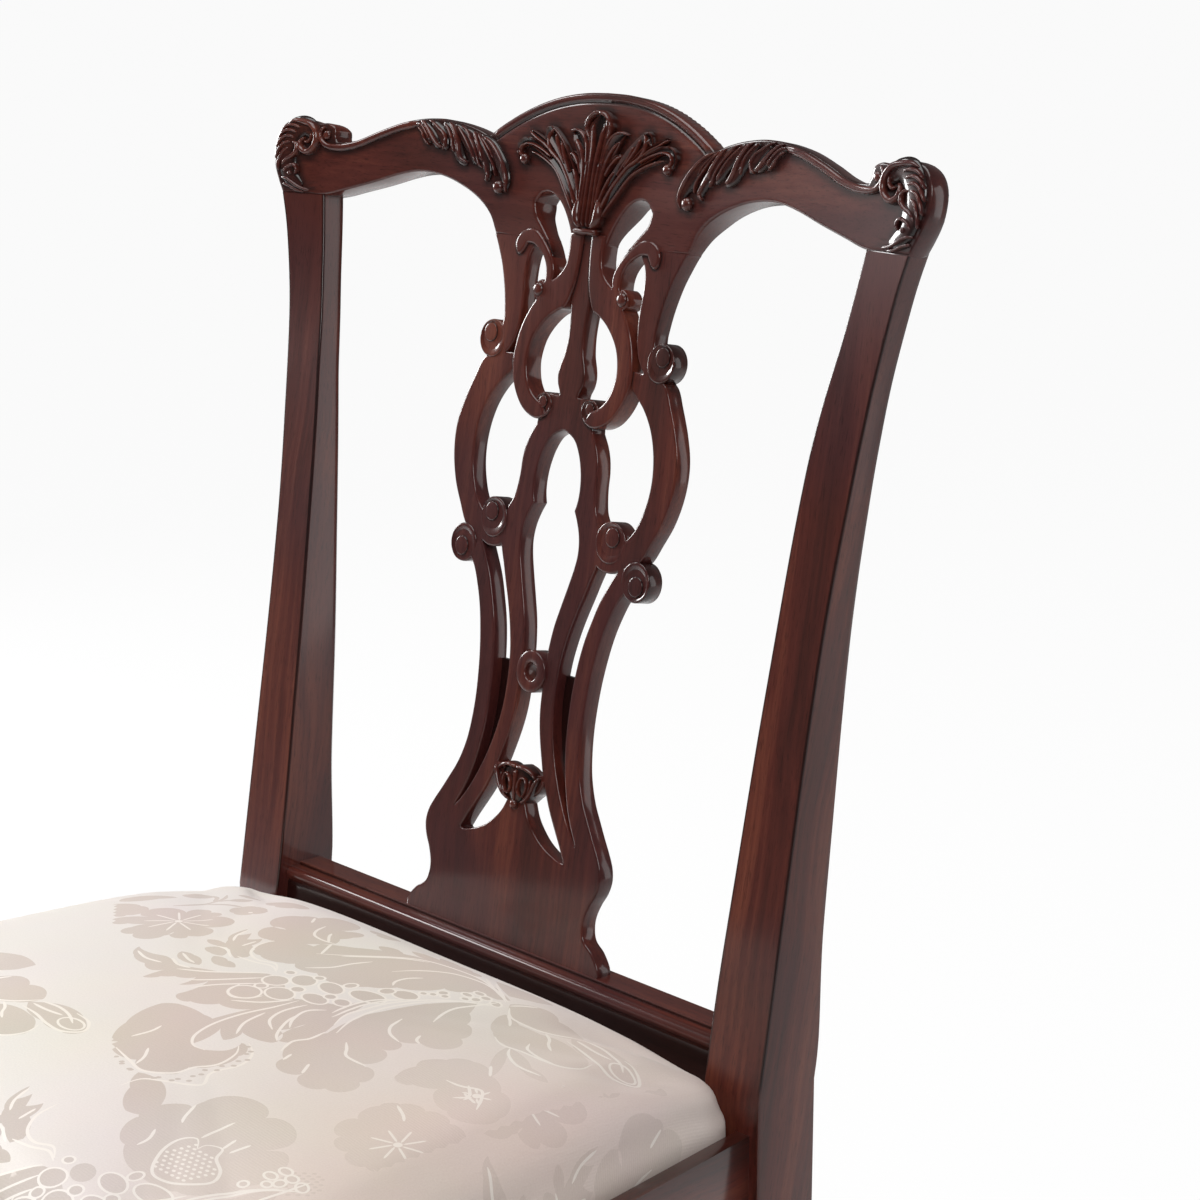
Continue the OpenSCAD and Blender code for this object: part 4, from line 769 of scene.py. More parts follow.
archLine = curveThrough([*[[-x, s] for x, s in archTop[:0:-1]], *archTop], 1.0)
topLine = np.vstack([archLine, *bothSides([curveThrough(wingTop), curveThrough(ear)])])


def crestJoint(p):
    x, s = abs(p[:, 0]), p[:, 1]
    return (atJoin(p) & (x < 88)) | ((abs(s - back["postJoinS"]) < 0.02) & (x > 244))


def insetLine(line, inset):
    return line - leftOf(np.gradient(line, axis=0)) * inset


archTree, topTree = treeOf(archLine), treeOf(topLine)
rimBead = {"width": 5.2, "middle": 2.7, "half": 2.8, "proud": 0.5, "groove": 1.1, "deep": 1.1}
# The crest's back: its depth beyond the splat's and at the ears, and how it is rounded off above and below
crestBack = {"overSplat": 9.0, "atEars": 21.0, "topRound": 11.0, "topDrop": 11.5,
             "lowRound": 4.0, "lowDrop": 3.0, "topOnly": 12.0}


def archRim(p):
    away = distanceTo(archTree, p)
    inside = 1 - smoothStep(93, 97, abs(p[:, 0]))
    groove = np.exp(-((away - rimBead["width"] - 0.5) / rimBead["groove"]) ** 2) * inside
    bead = np.clip(1 - ((away - rimBead["middle"]) / rimBead["half"]) ** 2, 0, 1) * inside
    return groove, bead


def crestFront(p, d):
    groove, bead = archRim(p)
    return roundedEdge(d, *rounding["crestFace"]) + rimBead["proud"] * bead - rimBead["deep"] * groove


def crestRear(p, d):
    away = distanceTo(topTree, p)
    thick = np.maximum(depth + crestBack["overSplat"] * smoothStep(back["joinS"], 456, p[:, 1]),
                       crestBack["atEars"] * smoothStep(130, 180, abs(p[:, 0])))
    edge = np.clip(1 - away / crestBack["topRound"], 0, 1)
    lowEdge = np.clip(1 - d / crestBack["lowRound"], 0, 1)
    own = smoothStep(back["joinS"], 452, p[:, 1])
    below = crestBack["lowDrop"] * (1 - np.sqrt(1 - lowEdge ** 2)) * (away > crestBack["topOnly"]) * own
    under = below - roundedEdge(d, *rounding["behind"]) * (1 - own)
    return -(thick - crestBack["topDrop"] * (1 - np.sqrt(1 - edge ** 2)) - under)


gridX, gridS = np.meshgrid(np.arange(-288, 289, 2.8), np.arange(437, 524, 2.8))
dots = np.stack([gridX.ravel(), gridS.ravel()], 1)
rimLines = [line[abs(line[:, 0]) < 95.5]
            for line in (insetLine(archLine, k) for k in (0.6, 1.4, 2.7, 4.0, 4.7, 5.2, 5.7, 6.2, 7.0))]
v, f, flat, d = boardFrom(crestLoops, onCrest, crestFront, crestRear, (0.3, 0.8, 1.5, 2.3, 4.5, 8.0),
                          rimLines, dots, crestJoint)
groove, _ = archRim(flat)
# painted shade in the groove beside the arch's bead
crestRail = makePiece("crestRail", v, f, woodCrest, ("crest_rail",),
                      values={"paintedShade": np.concatenate([np.clip(groove, 0, 1), np.zeros(len(flat))])})
print("crest board", len(v), len(f))

# Palmette in the middle of the crest: collar, bulbs, and leaves in pairs
palmette = []
collar = [(-10, 441, 4.5, 5.5), (0, 441, 4.5, 6.5), (10, 441, 4.5, 5.5)]
palmette.append(carvedStrip(collar, "round", onCrest, tips=(0.5, 0.5)))
centreLeaf = [(0, 443, 8, 5), (0, 452, 9, 5), (0, 465, 10, 4.6), (0, 475, 11, 4.2), (0, 485, 14, 3.8),
              (0, 495, 18, 3.6), (0, 502, 20, 3.4), (0, 507, 17, 3.0), (0, 511, 11, 2.8)]
# the leaf bodies are darkened with painted shade between the raised ribs
palmette.append(carvedStrip(centreLeaf, "flute", onCrest, tips=(1, 0.3), dark=0.7))
sideLeaves = {
    "bulb": [(4.5, 443, 4, 5.5), (8.5, 447.5, 7, 6.8), (9.5, 452.5, 7.5, 7), (9, 458, 5, 6),
             (8, 462, 2.5, 5)],
    "innerStem": [(4.5, 455, 4, 4.8), (7, 470, 5, 4.2), (10, 482, 7, 3.8), (13, 490, 9.5, 3.6),
                  (17.5, 497, 9, 3.6), (23, 501.5, 5, 3.2)],
    "innerLobeLow": [(11, 476, 3, 3.2), (15, 482, 5, 3.2), (19, 486, 5.5, 3), (24.5, 487.5, 3, 2.6)],
    "innerLobeHigh": [(10, 486, 3, 3.4), (8.5, 493, 4, 3.2), (9.5, 499, 3.5, 2.8)],
    "middleStem": [(8, 458, 4, 4.4), (15, 469, 6, 4), (23, 480, 8, 3.6), (31, 489, 10, 3.4),
                   (39, 496, 10, 3.4), (44.5, 500, 7, 3.4), (48, 494, 3.5, 3)],
    "middleLobeLow": [(9, 462, 3, 3.4), (13, 469, 5, 3.2), (17, 475, 5, 2.8), (19.5, 479.5, 2.5, 2.4)],
    "middleLobeHigh": [(22, 478, 3, 3.2), (27, 485, 5.5, 3.2), (30.5, 491, 4.5, 2.8), (33, 496, 2.5, 2.4)],
    "outerStem": [(11, 453, 3.5, 4.4), (20, 465, 5.5, 4), (29, 476, 6, 3.8), (38, 483.5, 6.5, 3.6),
                  (48, 488.5, 6.5, 3.4), (58, 492.5, 6, 3.4), (66.5, 492.5, 5.5, 3.4), (70, 487.5, 5, 3.4),
                  (68, 482, 4, 3.2)],
    "outerStrand": [(34, 484, 2.5, 3), (42, 490, 4, 3), (52, 495, 4, 3), (62.5, 499.5, 3.5, 2.8)]}
sideRibs = {
    "centreInner": [(2, 444, 2.2, 7), (2, 465, 2.2, 6.6), (2.2, 482, 2.4, 6), (3.6, 495, 2.8, 5.4),
                    (5.4, 506, 2.6, 5)],
    "centreOuter": [(5.2, 444, 2, 6.6), (5.2, 462, 2, 6.2), (5, 474, 2, 5.8), (5.8, 484, 1.6, 5)],
    "tip": [(7.6, 497, 2, 3.6), (10.2, 501, 2.8, 4.6), (10.4, 505.5, 3.2, 5.4), (7.8, 509.6, 3.6, 5.8),
            (3.6, 512.2, 3.8, 6), (-1, 512.8, 3.6, 6)],
    "innerMiddle": [(7.2, 458, 2, 6.4), (8, 470, 2.2, 5.8), (9.5, 480, 2.2, 5.2), (12, 487, 2.4, 4.8),
                    (15.5, 492, 2.4, 4.6), (20, 496.5, 2, 4)],
    "innerEdge": [(7, 480, 1.6, 4.6), (8.3, 489, 1.8, 4.4), (10, 495, 2, 4.4), (14, 499.6, 2.2, 4.4),
                  (20, 501.6, 2.2, 4.2), (26, 500.4, 1.8, 3.6)],
    "innerLobe": [(11, 475, 1.6, 4.6), (14.5, 481, 2, 4.6), (19, 485.8, 2.2, 4.2), (23.5, 488, 1.8, 3.4)],
    "baseLobe": [(9, 458, 1.8, 5.8), (12, 467, 2, 5.2), (15.5, 474, 2.2, 4.6), (19, 478.8, 2, 3.8)],
    "middleMain": [(12, 456, 2.4, 6), (17.5, 466, 2.4, 5.6), (23.5, 474, 2.4, 5.2), (30, 481, 2.6, 5),
                   (36, 484.8, 2.6, 4.8), (41, 488.5, 2.4, 4.8), (43.3, 493.5, 2.4, 4.8),
                   (43, 498.5, 2.2, 4.6), (39.5, 502.2, 2, 4)],
    "middleLobe": [(21.5, 476, 1.6, 4.6), (27, 483.5, 2, 4.4), (30.5, 489.5, 2, 4), (32.5, 494, 1.8, 3.4)],
    "middleBack": [(27, 481, 1.6, 4.4), (32, 487.5, 2, 4.4), (36, 493.5, 2, 4.2), (38, 499, 1.8, 3.6)],
    "outerThin": [(34, 483.5, 1.6, 4.4), (41, 488, 1.8, 4.2), (48, 492.3, 1.8, 4.2), (55, 495.2, 1.8, 4),
                  (62.5, 499.2, 1.6, 3.6)],
    "outerMain": [(40, 484.5, 1.8, 4.6), (50, 489, 2, 4.4), (60, 491.5, 2.2, 4.4), (66.8, 489.8, 2.2, 4.4),
                  (68, 485.8, 2.2, 4.4), (64, 481.8, 2, 4.2)],
    "outerLow": [(13, 451, 1.8, 5), (24, 465, 2, 4.6), (33, 475.5, 2, 4.2), (42, 481, 2, 3.8),
                 (52, 485, 1.8, 3.4), (60, 487, 1.6, 3)]}
for name, rows in sideLeaves.items():
    # flute bodies get painted shade between the ribs; the bulbs get none
    section, dark = ("round", 0.0) if name == "bulb" else ("flute", 0.75)
    palmette += [carvedStrip(flipped(rows, side), section, onCrest, tips=(0.4, 0.1), dark=dark)
                 for side in (1, -1)]
for rows in sideRibs.values():
    palmette += [carvedStrip(flipped(rows, side), "round", onCrest, sink=3.0, tips=(0.5, 0.15))
                 for side in (1, -1)]
for side in (1, -1):
    palmette.append(carvedKnob((side * 64.5, 482), 3.6, 4.2, onCrest))
v, f, r = joinParts(palmette)
crestPalmette = makePiece("crestPalmette", v, f, woodCrest, values={"paintedShade": r}, sharp=60)

# Leaf sprays where the wings leave the arch, and the leafy scrolls on the ears; each is mirrored
spray = {
    "backBlade": [(80, 461, 4, 2), (80, 468, 8, 2.4), (84, 475, 10, 2.6), (89, 481, 10, 2.6),
                  (95, 487, 9, 2.6), (102, 492, 6, 2.2), (107, 495, 3, 2)],
    "a": [(96, 467, 3, 2), (97, 473, 7, 2.4), (101, 479.5, 9, 2.6), (107, 486.5, 9, 2.6),
          (115, 493.5, 7, 2.2), (122, 498.5, 3, 2)],
    "b": [(108, 476.5, 4, 2), (111, 481.5, 8, 2.4), (116, 487.5, 9, 2.6), (123, 494, 8, 2.4),
          (132, 500.5, 4, 2)],
    "c": [(117, 476, 4, 2.2), (123, 480, 8, 2.6), (128, 487, 9, 2.6), (134, 494.5, 8, 2.4),
          (142, 501.5, 4, 2)],
    "d": [(137, 484.5, 4, 2.2), (139.5, 489.5, 8, 2.4), (144, 495, 8, 2.4), (152, 501, 5, 2)],
    "e": [(144, 485.5, 4, 2.2), (148, 490, 7, 2.4), (154, 496, 6.5, 2.4), (162, 500.8, 4, 2)],
    "f": [(152, 488, 3, 2), (155, 492, 5, 2.2), (160, 497, 4.5, 2.2), (167, 500.3, 3, 2)]}
sprayRibs = {
    "back": [(79.5, 460.5, 2, 3), (78.6, 468, 2.6, 4), (81.6, 475, 2.8, 4.4), (85.8, 481, 2.8, 4.4),
             (91, 486.4, 2.8, 4.4), (97.5, 491.2, 2.4, 4), (105, 494.4, 1.8, 3)],
    "backFine": [(92.5, 480.5, 1.2, 3), (96.6, 486, 1.4, 3.6), (101, 490, 1.4, 3.4), (106, 493.6, 1.2, 2.8)],
    "backLow": [(90, 470, 1.2, 2.6), (91.5, 475.5, 1.6, 3.4), (95.5, 481, 1.6, 3.8), (101, 487.5, 1.6, 3.8),
                (106, 492.3, 1.6, 3.4), (110, 496, 1.4, 2.6)],
    "aTip": [(98, 466.5, 2, 2.6), (95.8, 469.5, 2.4, 3.6), (98, 474.5, 2.2, 3.8), (101, 478.5, 1.6, 3.6)],
    "aMain": [(102.6, 478.5, 2.6, 3.6), (103.8, 483.2, 3, 4.6), (106.8, 488.2, 3, 4.6),
              (110.8, 494, 2.4, 3.8), (113.4, 496.8, 1.8, 2.8)],
    "aSide": [(102.5, 474.5, 1.8, 2.8), (105, 476.5, 2, 3.4), (107.5, 482, 1.6, 3.8),
              (112, 488.5, 1.6, 3.8), (118, 494.5, 1.4, 3), (122, 498, 1.2, 2.4)],
    "bTip": [(109, 478, 2, 2.8), (111, 481, 2.2, 3.6), (113.5, 485, 1.6, 3.8), (118, 490.5, 1.6, 3.8),
             (124, 496, 1.6, 3.2), (129, 500, 1.4, 2.4)],
    "bFine": [(113.6, 489.6, 1.4, 3), (116, 493.6, 1.6, 3.4), (120.6, 497.6, 1.6, 3), (126, 500, 1.4, 2.4)],
    "cMain": [(116.6, 477.3, 2.4, 3.2), (120.8, 478.8, 3, 4.4), (123.9, 483.2, 3, 4.6),
              (126, 488.8, 3, 4.6), (128.8, 494, 2.8, 4.4), (132.6, 498.8, 2.4, 3.6),
              (136.6, 501.8, 1.8, 2.6)],
    "cSide": [(129, 483, 2.4, 3.4), (130.6, 487, 2, 3.8), (132, 492, 1.6, 3.8), (135.6, 496.6, 1.6, 3.4),
              (140, 500.6, 1.4, 2.6)],
    "dTip": [(140.6, 484.4, 1.8, 2.8), (137.8, 487.4, 2.2, 3.6), (138, 492, 2, 3.8), (141, 495.4, 1.8, 3.8),
             (145.6, 497.8, 2, 3.6), (151, 501, 1.8, 3), (155.6, 502.6, 1.4, 2.2)],
    "eMain": [(141, 485.8, 2, 3), (144.6, 487.2, 2.8, 4.2), (148.6, 491, 3, 4.6), (153.6, 496, 2.8, 4.2),
              (159.4, 500.6, 2.2, 3.2), (163, 502, 1.6, 2.4)],
    "fMain": [(151.4, 489.4, 1.8, 3), (155.4, 494, 2, 3.6), (159.6, 498, 2, 3.2), (165, 500.2, 1.6, 2.4)],
    "fLow": [(153, 486.8, 1.6, 2.6), (157, 490, 1.8, 3.2), (160, 494.6, 1.6, 3), (165, 498, 1.4, 2.4)]}
wingBead = [(162, 500.4, 3, 1.6), (170, 499.3, 5, 2), (182, 496.8, 5, 2.2), (200, 491, 5, 2.2),
            (216, 485.2, 5, 2.2), (228, 482.4, 5, 2.2), (238, 481.6, 4.5, 2.4), (246, 482.8, 4, 2.8),
            (251, 487, 3.5, 3.2), (251.6, 491.6, 3, 3.2), (248.6, 494.8, 2.4, 2.8)]
earField = [(256, 487, 10, 2.2), (264, 494, 13, 2.4), (274, 492, 18, 2.6), (280, 482, 19, 2.6),
            (279, 470, 16, 2.4), (274, 460, 12, 2), (264, 455, 7, 1.6)]
leafKnobs = [(85.5, 463.3, 4.3, 4.2), (246.3, 489.3, 3.2, 2.4), (274.6, 463, 1.9, 3.4)]
earRibs = {
    "scroll": [(281, 496.4, 2, 3), (275, 498, 3.4, 3.8), (267, 497.4, 4.4, 4.6), (259.6, 495.6, 4.8, 5),
               (254.8, 491, 4.8, 5), (253.6, 485, 4.8, 5), (256.4, 479.8, 4.6, 5), (261.8, 477.6, 4.4, 4.8),
               (266.8, 479.8, 4, 4.6), (268.4, 484, 3.4, 4.4), (265.8, 487, 3, 4)],
    "eye": [(258.4, 490.4, 1.2, 3.6), (258.8, 486.4, 2, 4), (261.6, 484, 2.2, 4), (264.4, 485, 1.4, 3.6)],
    "top": [(285.6, 490.6, 2, 3), (281.6, 494, 2.6, 4), (275.6, 495, 2.8, 4.4), (269, 493.4, 2.2, 4)],
    "second": [(288, 485.4, 2, 3), (284.2, 489.6, 2.6, 4), (278.4, 491.6, 2.8, 4.4), (271.8, 490, 2.2, 4)],
    "third": [(289, 479, 2, 3), (285.6, 484.6, 2.6, 4), (280.2, 487.6, 2.8, 4.4), (273.6, 487, 2.2, 4)],
    "fourth": [(288.6, 471.6, 2, 2.8), (286.6, 477.6, 2.6, 3.8), (282.6, 482.4, 2.6, 4), (277, 484, 2, 3.6)],
    "fifth": [(286, 464.6, 2, 2.6), (285.6, 470.6, 2.4, 3.6), (282.6, 476.6, 2.6, 3.8), (278, 480, 2, 3.4)],
    "curl": [(283, 468, 2, 2.8), (279, 472, 3, 3.8), (274, 474.4, 3.4, 4.2), (270.4, 478, 3.4, 4.4),
             (271, 482.4, 2.8, 4.2), (275.6, 484, 2, 3.6)],
    "lowCurl": [(281, 463.6, 1.8, 2.6), (276.6, 467.4, 2.6, 3.6), (271.4, 468.6, 2.6, 3.8),
                (268.8, 465, 2.2, 3.4), (271, 462.4, 1.6, 3)],
    "lowBlade": [(283, 460, 1.8, 1.6), (277.6, 459.4, 2.4, 2.6), (271.4, 456.6, 2.6, 2.8),
                 (265, 453.8, 2.4, 2.2), (257.6, 452.4, 2, 1.4)],
    "foot": [(281, 456, 1.8, 1.4), (275, 454.6, 2.2, 1.8), (269, 452.4, 2, 1.6), (262, 451, 1.6, 1.1)]}
parts = []
for side in (1, -1):
    for rows in [*spray.values(), earField]:
        # leaf bodies under the ribs are darkened with painted shade
        parts.append(carvedStrip(flipped(rows, side), "round", onCrest, tips=(0.2, 0.2), dark=1.0))
    for rows in [*sprayRibs.values(), *earRibs.values()]:
        parts.append(carvedStrip(flipped(rows, side), "round", onCrest, sink=2.4, tips=(0.25, 0.15)))
    parts.append(carvedStrip(flipped(wingBead, side), "round", onCrest, tips=(0.1, 0.4)))
    parts += [carvedKnob((side * x, s), radius, high, onCrest) for x, s, radius, high in leafKnobs]
v, f, r = joinParts(parts)
crestLeaves = makePiece("crestLeaves", v, f, woodCrest, values={"paintedShade": r}, sharp=60)
# painted shade on the ground around the carving
carved = np.array([list(q.co) for piece in (crestPalmette, crestLeaves) for q in piece.data.vertices]) * 1000
ground = np.array([list(q.co) for q in crestRail.data.vertices]) * 1000
glaze = 0.75 * (1 - smoothStep(0.8, 5.0, nearest(ground[:, [0, 2]], carved[:, [0, 2]])))
glaze[len(glaze) // 2:] = 0
shade = crestRail.data.attributes["paintedShade"].data
for q, value in zip(shade, glaze):
    q.value = max(q.value, value)
print("crest carved")

# Rear posts: a foot kicked back, a square length at the rails and a flared upper length
post = {"width": 43.5, "deep": 47.0, "waist": 19.0, "footWidth": 36.0, "footIn": 3.0, "footZ": 3.0,
        "kick": 65.0, "kickPower": 1.6, "heelShare": 0.35,
        "chamfer": 0.8, "railLow": 364.0, "kinkZ": 454.0, "joinZ": 925.0, "halfRear": 251.5,
        "topOut": 279.0, "topIn": 245.0, "topY": 78.41, "centreY": 149.581}
# Along the upper length, 0 at the kink and 1 at the crest: how much of its depth and of its flare a post has
depthShare = [[0, 1], [0.05, 0.98], [0.18, 0.76], [0.35, 0.56], [0.52, 0.34], [0.69, 0.13], [0.78, 0.05],
              [0.87, 0.01], [1, 0.04]]
outerFlare = [[0, 0], [0.35, 0], [0.52, 0.045], [0.61, 0.12], [0.69, 0.23], [0.78, 0.37], [0.86, 0.54],
              [0.95, 0.84], [1, 1.09]]
innerFlare = [[0, 0], [0.06, 0], [0.14, 0.02], [0.27, 0.09], [0.4, 0.16], [0.52, 0.245], [0.65, 0.345],
              [0.74, 0.445], [0.82, 0.57], [0.9, 0.76], [1, 0.97]]


def shareAt(t, table):
    c = curveThrough(table, 0.02)
    return float(np.interp(t, c[:, 0], np.maximum(0, c[:, 1])))


def roundedRect(x0, x1, y0, y1, corner, steps=3):
    out = []
    for cx, cy, first, r in ((x1, y0, -90, corner[0]), (x1, y1, 0, corner[1]), (x0, y1, 90, corner[1]),
                             (x0, y0, 180, corner[0])):
        sx, sy = (1 if cx == x1 else -1), (1 if cy == y1 else -1)
        for k in range(steps + 1):
            a = math.radians(first + 90 * k / steps)
            out.append((cx - sx * r + r * math.cos(a), cy - sy * r + r * math.sin(a)))
    return np.array(out)


postHeights = [3, 4.2, *np.linspace(20, 350, 24), 364, 372, 400, 430, 446, 454, *np.linspace(462, 921, 84),
               925]


def postRings(side):
    rings = []
    for z in postHeights:
        t = 0
        if z <= post["railLow"]:
            q = (z - post["footZ"]) / (post["railLow"] - post["footZ"])
            thick = post["footWidth"] + (post["deep"] - post["footWidth"]) * q
            y0 = post["kick"] * (1 - q) ** post["kickPower"] + (post["deep"] - thick) * post["heelShare"]
            y1 = y0 + thick
            footX = post["halfRear"] - post["footIn"]
            x1 = footX + post["footIn"] * q
            x0 = (footX - post["footWidth"]) + (post["footIn"] + post["footWidth"] - post["width"]) * q
        else:
            t = max(0, (z - post["kinkZ"]) / (post["joinZ"] - post["kinkZ"]))
            y0 = post["topY"] * t
            slimmer = (1 - shareAt(t, depthShare)) if t else 0
            y1 = y0 + post["deep"] - (post["deep"] - post["waist"]) * slimmer
            inner = post["halfRear"] - post["width"]
            x1 = post["halfRear"] + (post["topOut"] - post["halfRear"]) * shareAt(t, outerFlare)
            x0 = inner + (post["topIn"] - inner) * shareAt(t, innerFlare)
        corner = (0.9, 2.2 + 3.8 * float(smoothStep(0.02, 0.2, t)))
        if z == post["footZ"]:
            cut = post["chamfer"]
            x0, x1, y0, y1 = x0 + cut, x1 - cut, y0 + cut, y1 - cut
        p = roundedRect(x0, x1, y0, y1, corner)
        # a point each side of both front arrises, so that the painted dark line stays on them
        p = np.vstack([p[:4], p[3] + (0, 1.1), p[4:12], p[12] + (0, 1.1), p[12:], p[15] + (1.1, 0),
                       p[0] - (1.1, 0)])
        p[:, 1] += post["centreY"]
        # near the joint the post follows the crest's hollow
        atCrest = onCrest(np.column_stack([p[:, 0], np.full(len(p), back["postJoinS"])]), 0)[:, 1]
        p[:, 1] += float(smoothStep(0.74, 1, t)) * (atCrest - post["centreY"] - post["topY"])
        if side < 0:
            p = mirrored(p)
        rings.append(np.column_stack([p, np.full(len(p), z)]))
    return rings


for side, name in bothNames:
    v, f = loft(postRings(side))
    arris = (0, 1, 2, 3, 14, 15, 16, 17) if side > 0 else (2, 3, 4, 5, 16, 17, 18, 19)
    # painted shade along both front arrises above the kink, standing in for a fine groove's shadow
    line = np.where(np.isin(np.arange(20), arris), 0.85, 0.0)  # of the 20 points of a ring
    makePiece("rearPost" + name, v, f, woodUp, ("rear_post_" + name.lower(),), sharp=30,
              values={"paintedShade": np.tile(line, len(v) // 20) * (v[:, 2] > 455)})
print("posts made")

# Shoe: flat top, a step, a bead and a hollow, run between the posts; y and z round its section
shoe = {"half": 208.0, "rings": 9}
bead = {"radius": 4.5, "y": 14.0, "z": 469.0}
profile = [(39, 430), (39, 474.2), (38.2, 475), (21.6, 475), (21, 474.4), (20.8, 473.1), (19.4, 472.9)]
profile += [(bead["y"] + bead["radius"] * math.cos(math.radians(a)),
             bead["z"] + bead["radius"] * math.sin(math.radians(a)))
            for a in range(70, 232, 9)]
profile += [tuple(q) for q in curveThrough([(10.9, 464.6), (10.3, 462.4), (9.4, 455), (7.6, 448),
                                            (4.2, 443), (2.6, 440.2), (2, 438)], 1.5)]
profile += [(2, 430)]


# painted shade in the hollow and in the quirks beside the bead
def shoePaintedShade(y, z):
    inHollow = 439 < z < 464.5
    besideBead = 20 < y < 21.5 or (464 < z < 465.5 and 10.5 < y < 12)
    return 0.85 * inHollow + 0.75 * besideBead


profile = profile[::-1]
v, f = loft([np.array([(x, y + post["centreY"], z) for y, z in profile])
             for x in np.linspace(-shoe["half"], shoe["half"], shoe["rings"])])
f = [face[::-1] for face in f]
shade = np.tile([shoePaintedShade(y, z) for y, z in profile], shoe["rings"])
makePiece("shoeMoulding", v, f, woodAcross, ("shoe",), sharp=28, values={"paintedShade": shade})


# A rail, block or frame member: a merged copy of its solid with its arrises taken off, down to the cut if any
def softCopy(node, name, material, width, body="chair", cut=None):
    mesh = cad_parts[node].data.copy()
    if cut:
        bm = bmesh.new()
        bm.from_mesh(mesh)
        bmesh.ops.remove_doubles(bm, verts=bm.verts, dist=0.00001)
        bmesh.ops.bisect_plane(bm, geom=[*bm.verts, *bm.edges, *bm.faces], plane_co=(0, 0, cut),
                               plane_no=(0, 0, -1), clear_outer=True)
        bmesh.ops.holes_fill(bm, edges=[e for e in bm.edges if e.is_boundary])
        bm.to_mesh(mesh)
        bm.free()
    piece = linked(name, mesh)
    mesh.materials.clear()
    mesh.materials.append(material)
    for kind, settings in (("WELD", {"merge_threshold": 0.00001}),
                           ("DECIMATE", {"decimate_type": "DISSOLVE", "angle_limit": math.radians(1)}),
                           ("BEVEL", {"width": width, "segments": 2, "limit_method": "ANGLE",
                                      "angle_limit": math.radians(35)})):
        modifier = piece.modifiers.new(kind, kind)
        for key, value in settings.items():
            setattr(modifier, key, value)
    result = bpy.data.meshes.new_from_object(evaluated(piece))
    piece.modifiers.clear()
    piece.data = result
    result.name = name
    result.polygons.foreach_set("use_smooth", [True] * len(result.polygons))
    result.set_sharp_from_angle(angle=math.radians(30))
    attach(piece, body)
    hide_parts(node)


def camelName(node):
    first, *rest = node.split("_")
    return first + "".join(word.capitalize() for word in rest)


# how wide each arris is taken off, in metres
railWoods = {"rear_rail": (woodAcross, 0.0015), "front_rail": (woodAcross, 0.0016),
             "side_rail_left": (woodSides[-1], 0.0016), "side_rail_right": (woodSides[1], 0.0016),
             "knee_bracket_front_left": (woodAcross, 0.0015),
             "knee_bracket_front_right": (woodAcross, 0.0015), "knee_bracket_side_left": (woodLeg, 0.0015),
             "knee_bracket_side_right": (woodLeg, 0.0015)}
for node, (material, width) in railWoods.items():
    softCopy(node, camelName(node), material, width)
for node in ("seat_ledger", "corner_block_front_left", "corner_block_front_right", "corner_block_rear_left",
             "corner_block_rear_right"):
    softCopy(node, camelName(node), beech, 0.001)
print("rails made")

# Front legs: height, how far out along the diagonal, half width, squareness; a square block stands above.
# A claw's bone: how far out from the ball's middle, height, radius
leg = {"blockX": 274.745, "blockY": -396.22, "footOut": 10.0, "ballRadius": 28.0, "ballZ": 31.0,
       "blockZ": 364.0}
legStations = [[376, 0, 21.5, 7], [364, 1, 24, 6], [350, 9.9, 27, 4.5], [338, 14.4, 27.5, 4],
               [325, 16, 27, 3.6], [305, 15.5, 24.8, 3.2], [280, 13.4, 22.1, 3], [250, 9.6, 19.7, 2.8],
               [215, 4.8, 17.6, 2.6], [180, 1, 16.2, 2.4], [145, -1.5, 14.8, 2.3], [120, -2.5, 14, 2.2],
               [95, -2, 14, 2.1], [80, 1.5, 15.6, 2], [68, 5.5, 19, 2], [58, 8, 22.5, 2], [48, 9.5, 24, 2],
               [41, 10, 20, 2]]
clawTurns = (-45, 30, 135, -120)
clawBone = [(11, 88, 4.5), (16.5, 74, 6.2), (22.5, 62, 7.2), (27, 53, 5.6), (28.6, 42, 6.6),
            (29.2, 33, 5.2), (27.4, 22, 4.4), (23.5, 13, 3.0), (19, 8, 1.4)]


def legPoint(side, out, angle, radius, power=2.0):
    c, t = np.cos(angle), np.sin(angle)
    x = leg["blockX"] + out * math.sqrt(0.5) + radius * np.sign(c) * abs(c) ** (2 / power)
    y = leg["blockY"] - out * math.sqrt(0.5) + radius * np.sign(t) * abs(t) ** (2 / power)
    return side * x, y + post["centreY"]


# A tube about the ball, its sections flattened towards the ball's middle: rows of x, y, z, radius
def clawTube(rows, ballAt, flat=0.8, count=12):
    p = curveThrough(rows, 2.5)
    along = np.gradient(p[:, :3], axis=0)
    along /= np.linalg.norm(along, axis=1)[:, None]
    outward = p[:, :3] - np.array(ballAt)
    outward -= along * np.sum(outward * along, 1)[:, None]
    outward /= np.linalg.norm(outward, axis=1)[:, None]
    sideways = np.cross(along, outward)
    c, t = roundAbout(count).T
    return loft([q[:3] + q[3] * (np.outer(c, x) + flat * np.outer(t, y))
                 for q, x, y in zip(p, sideways, outward)])


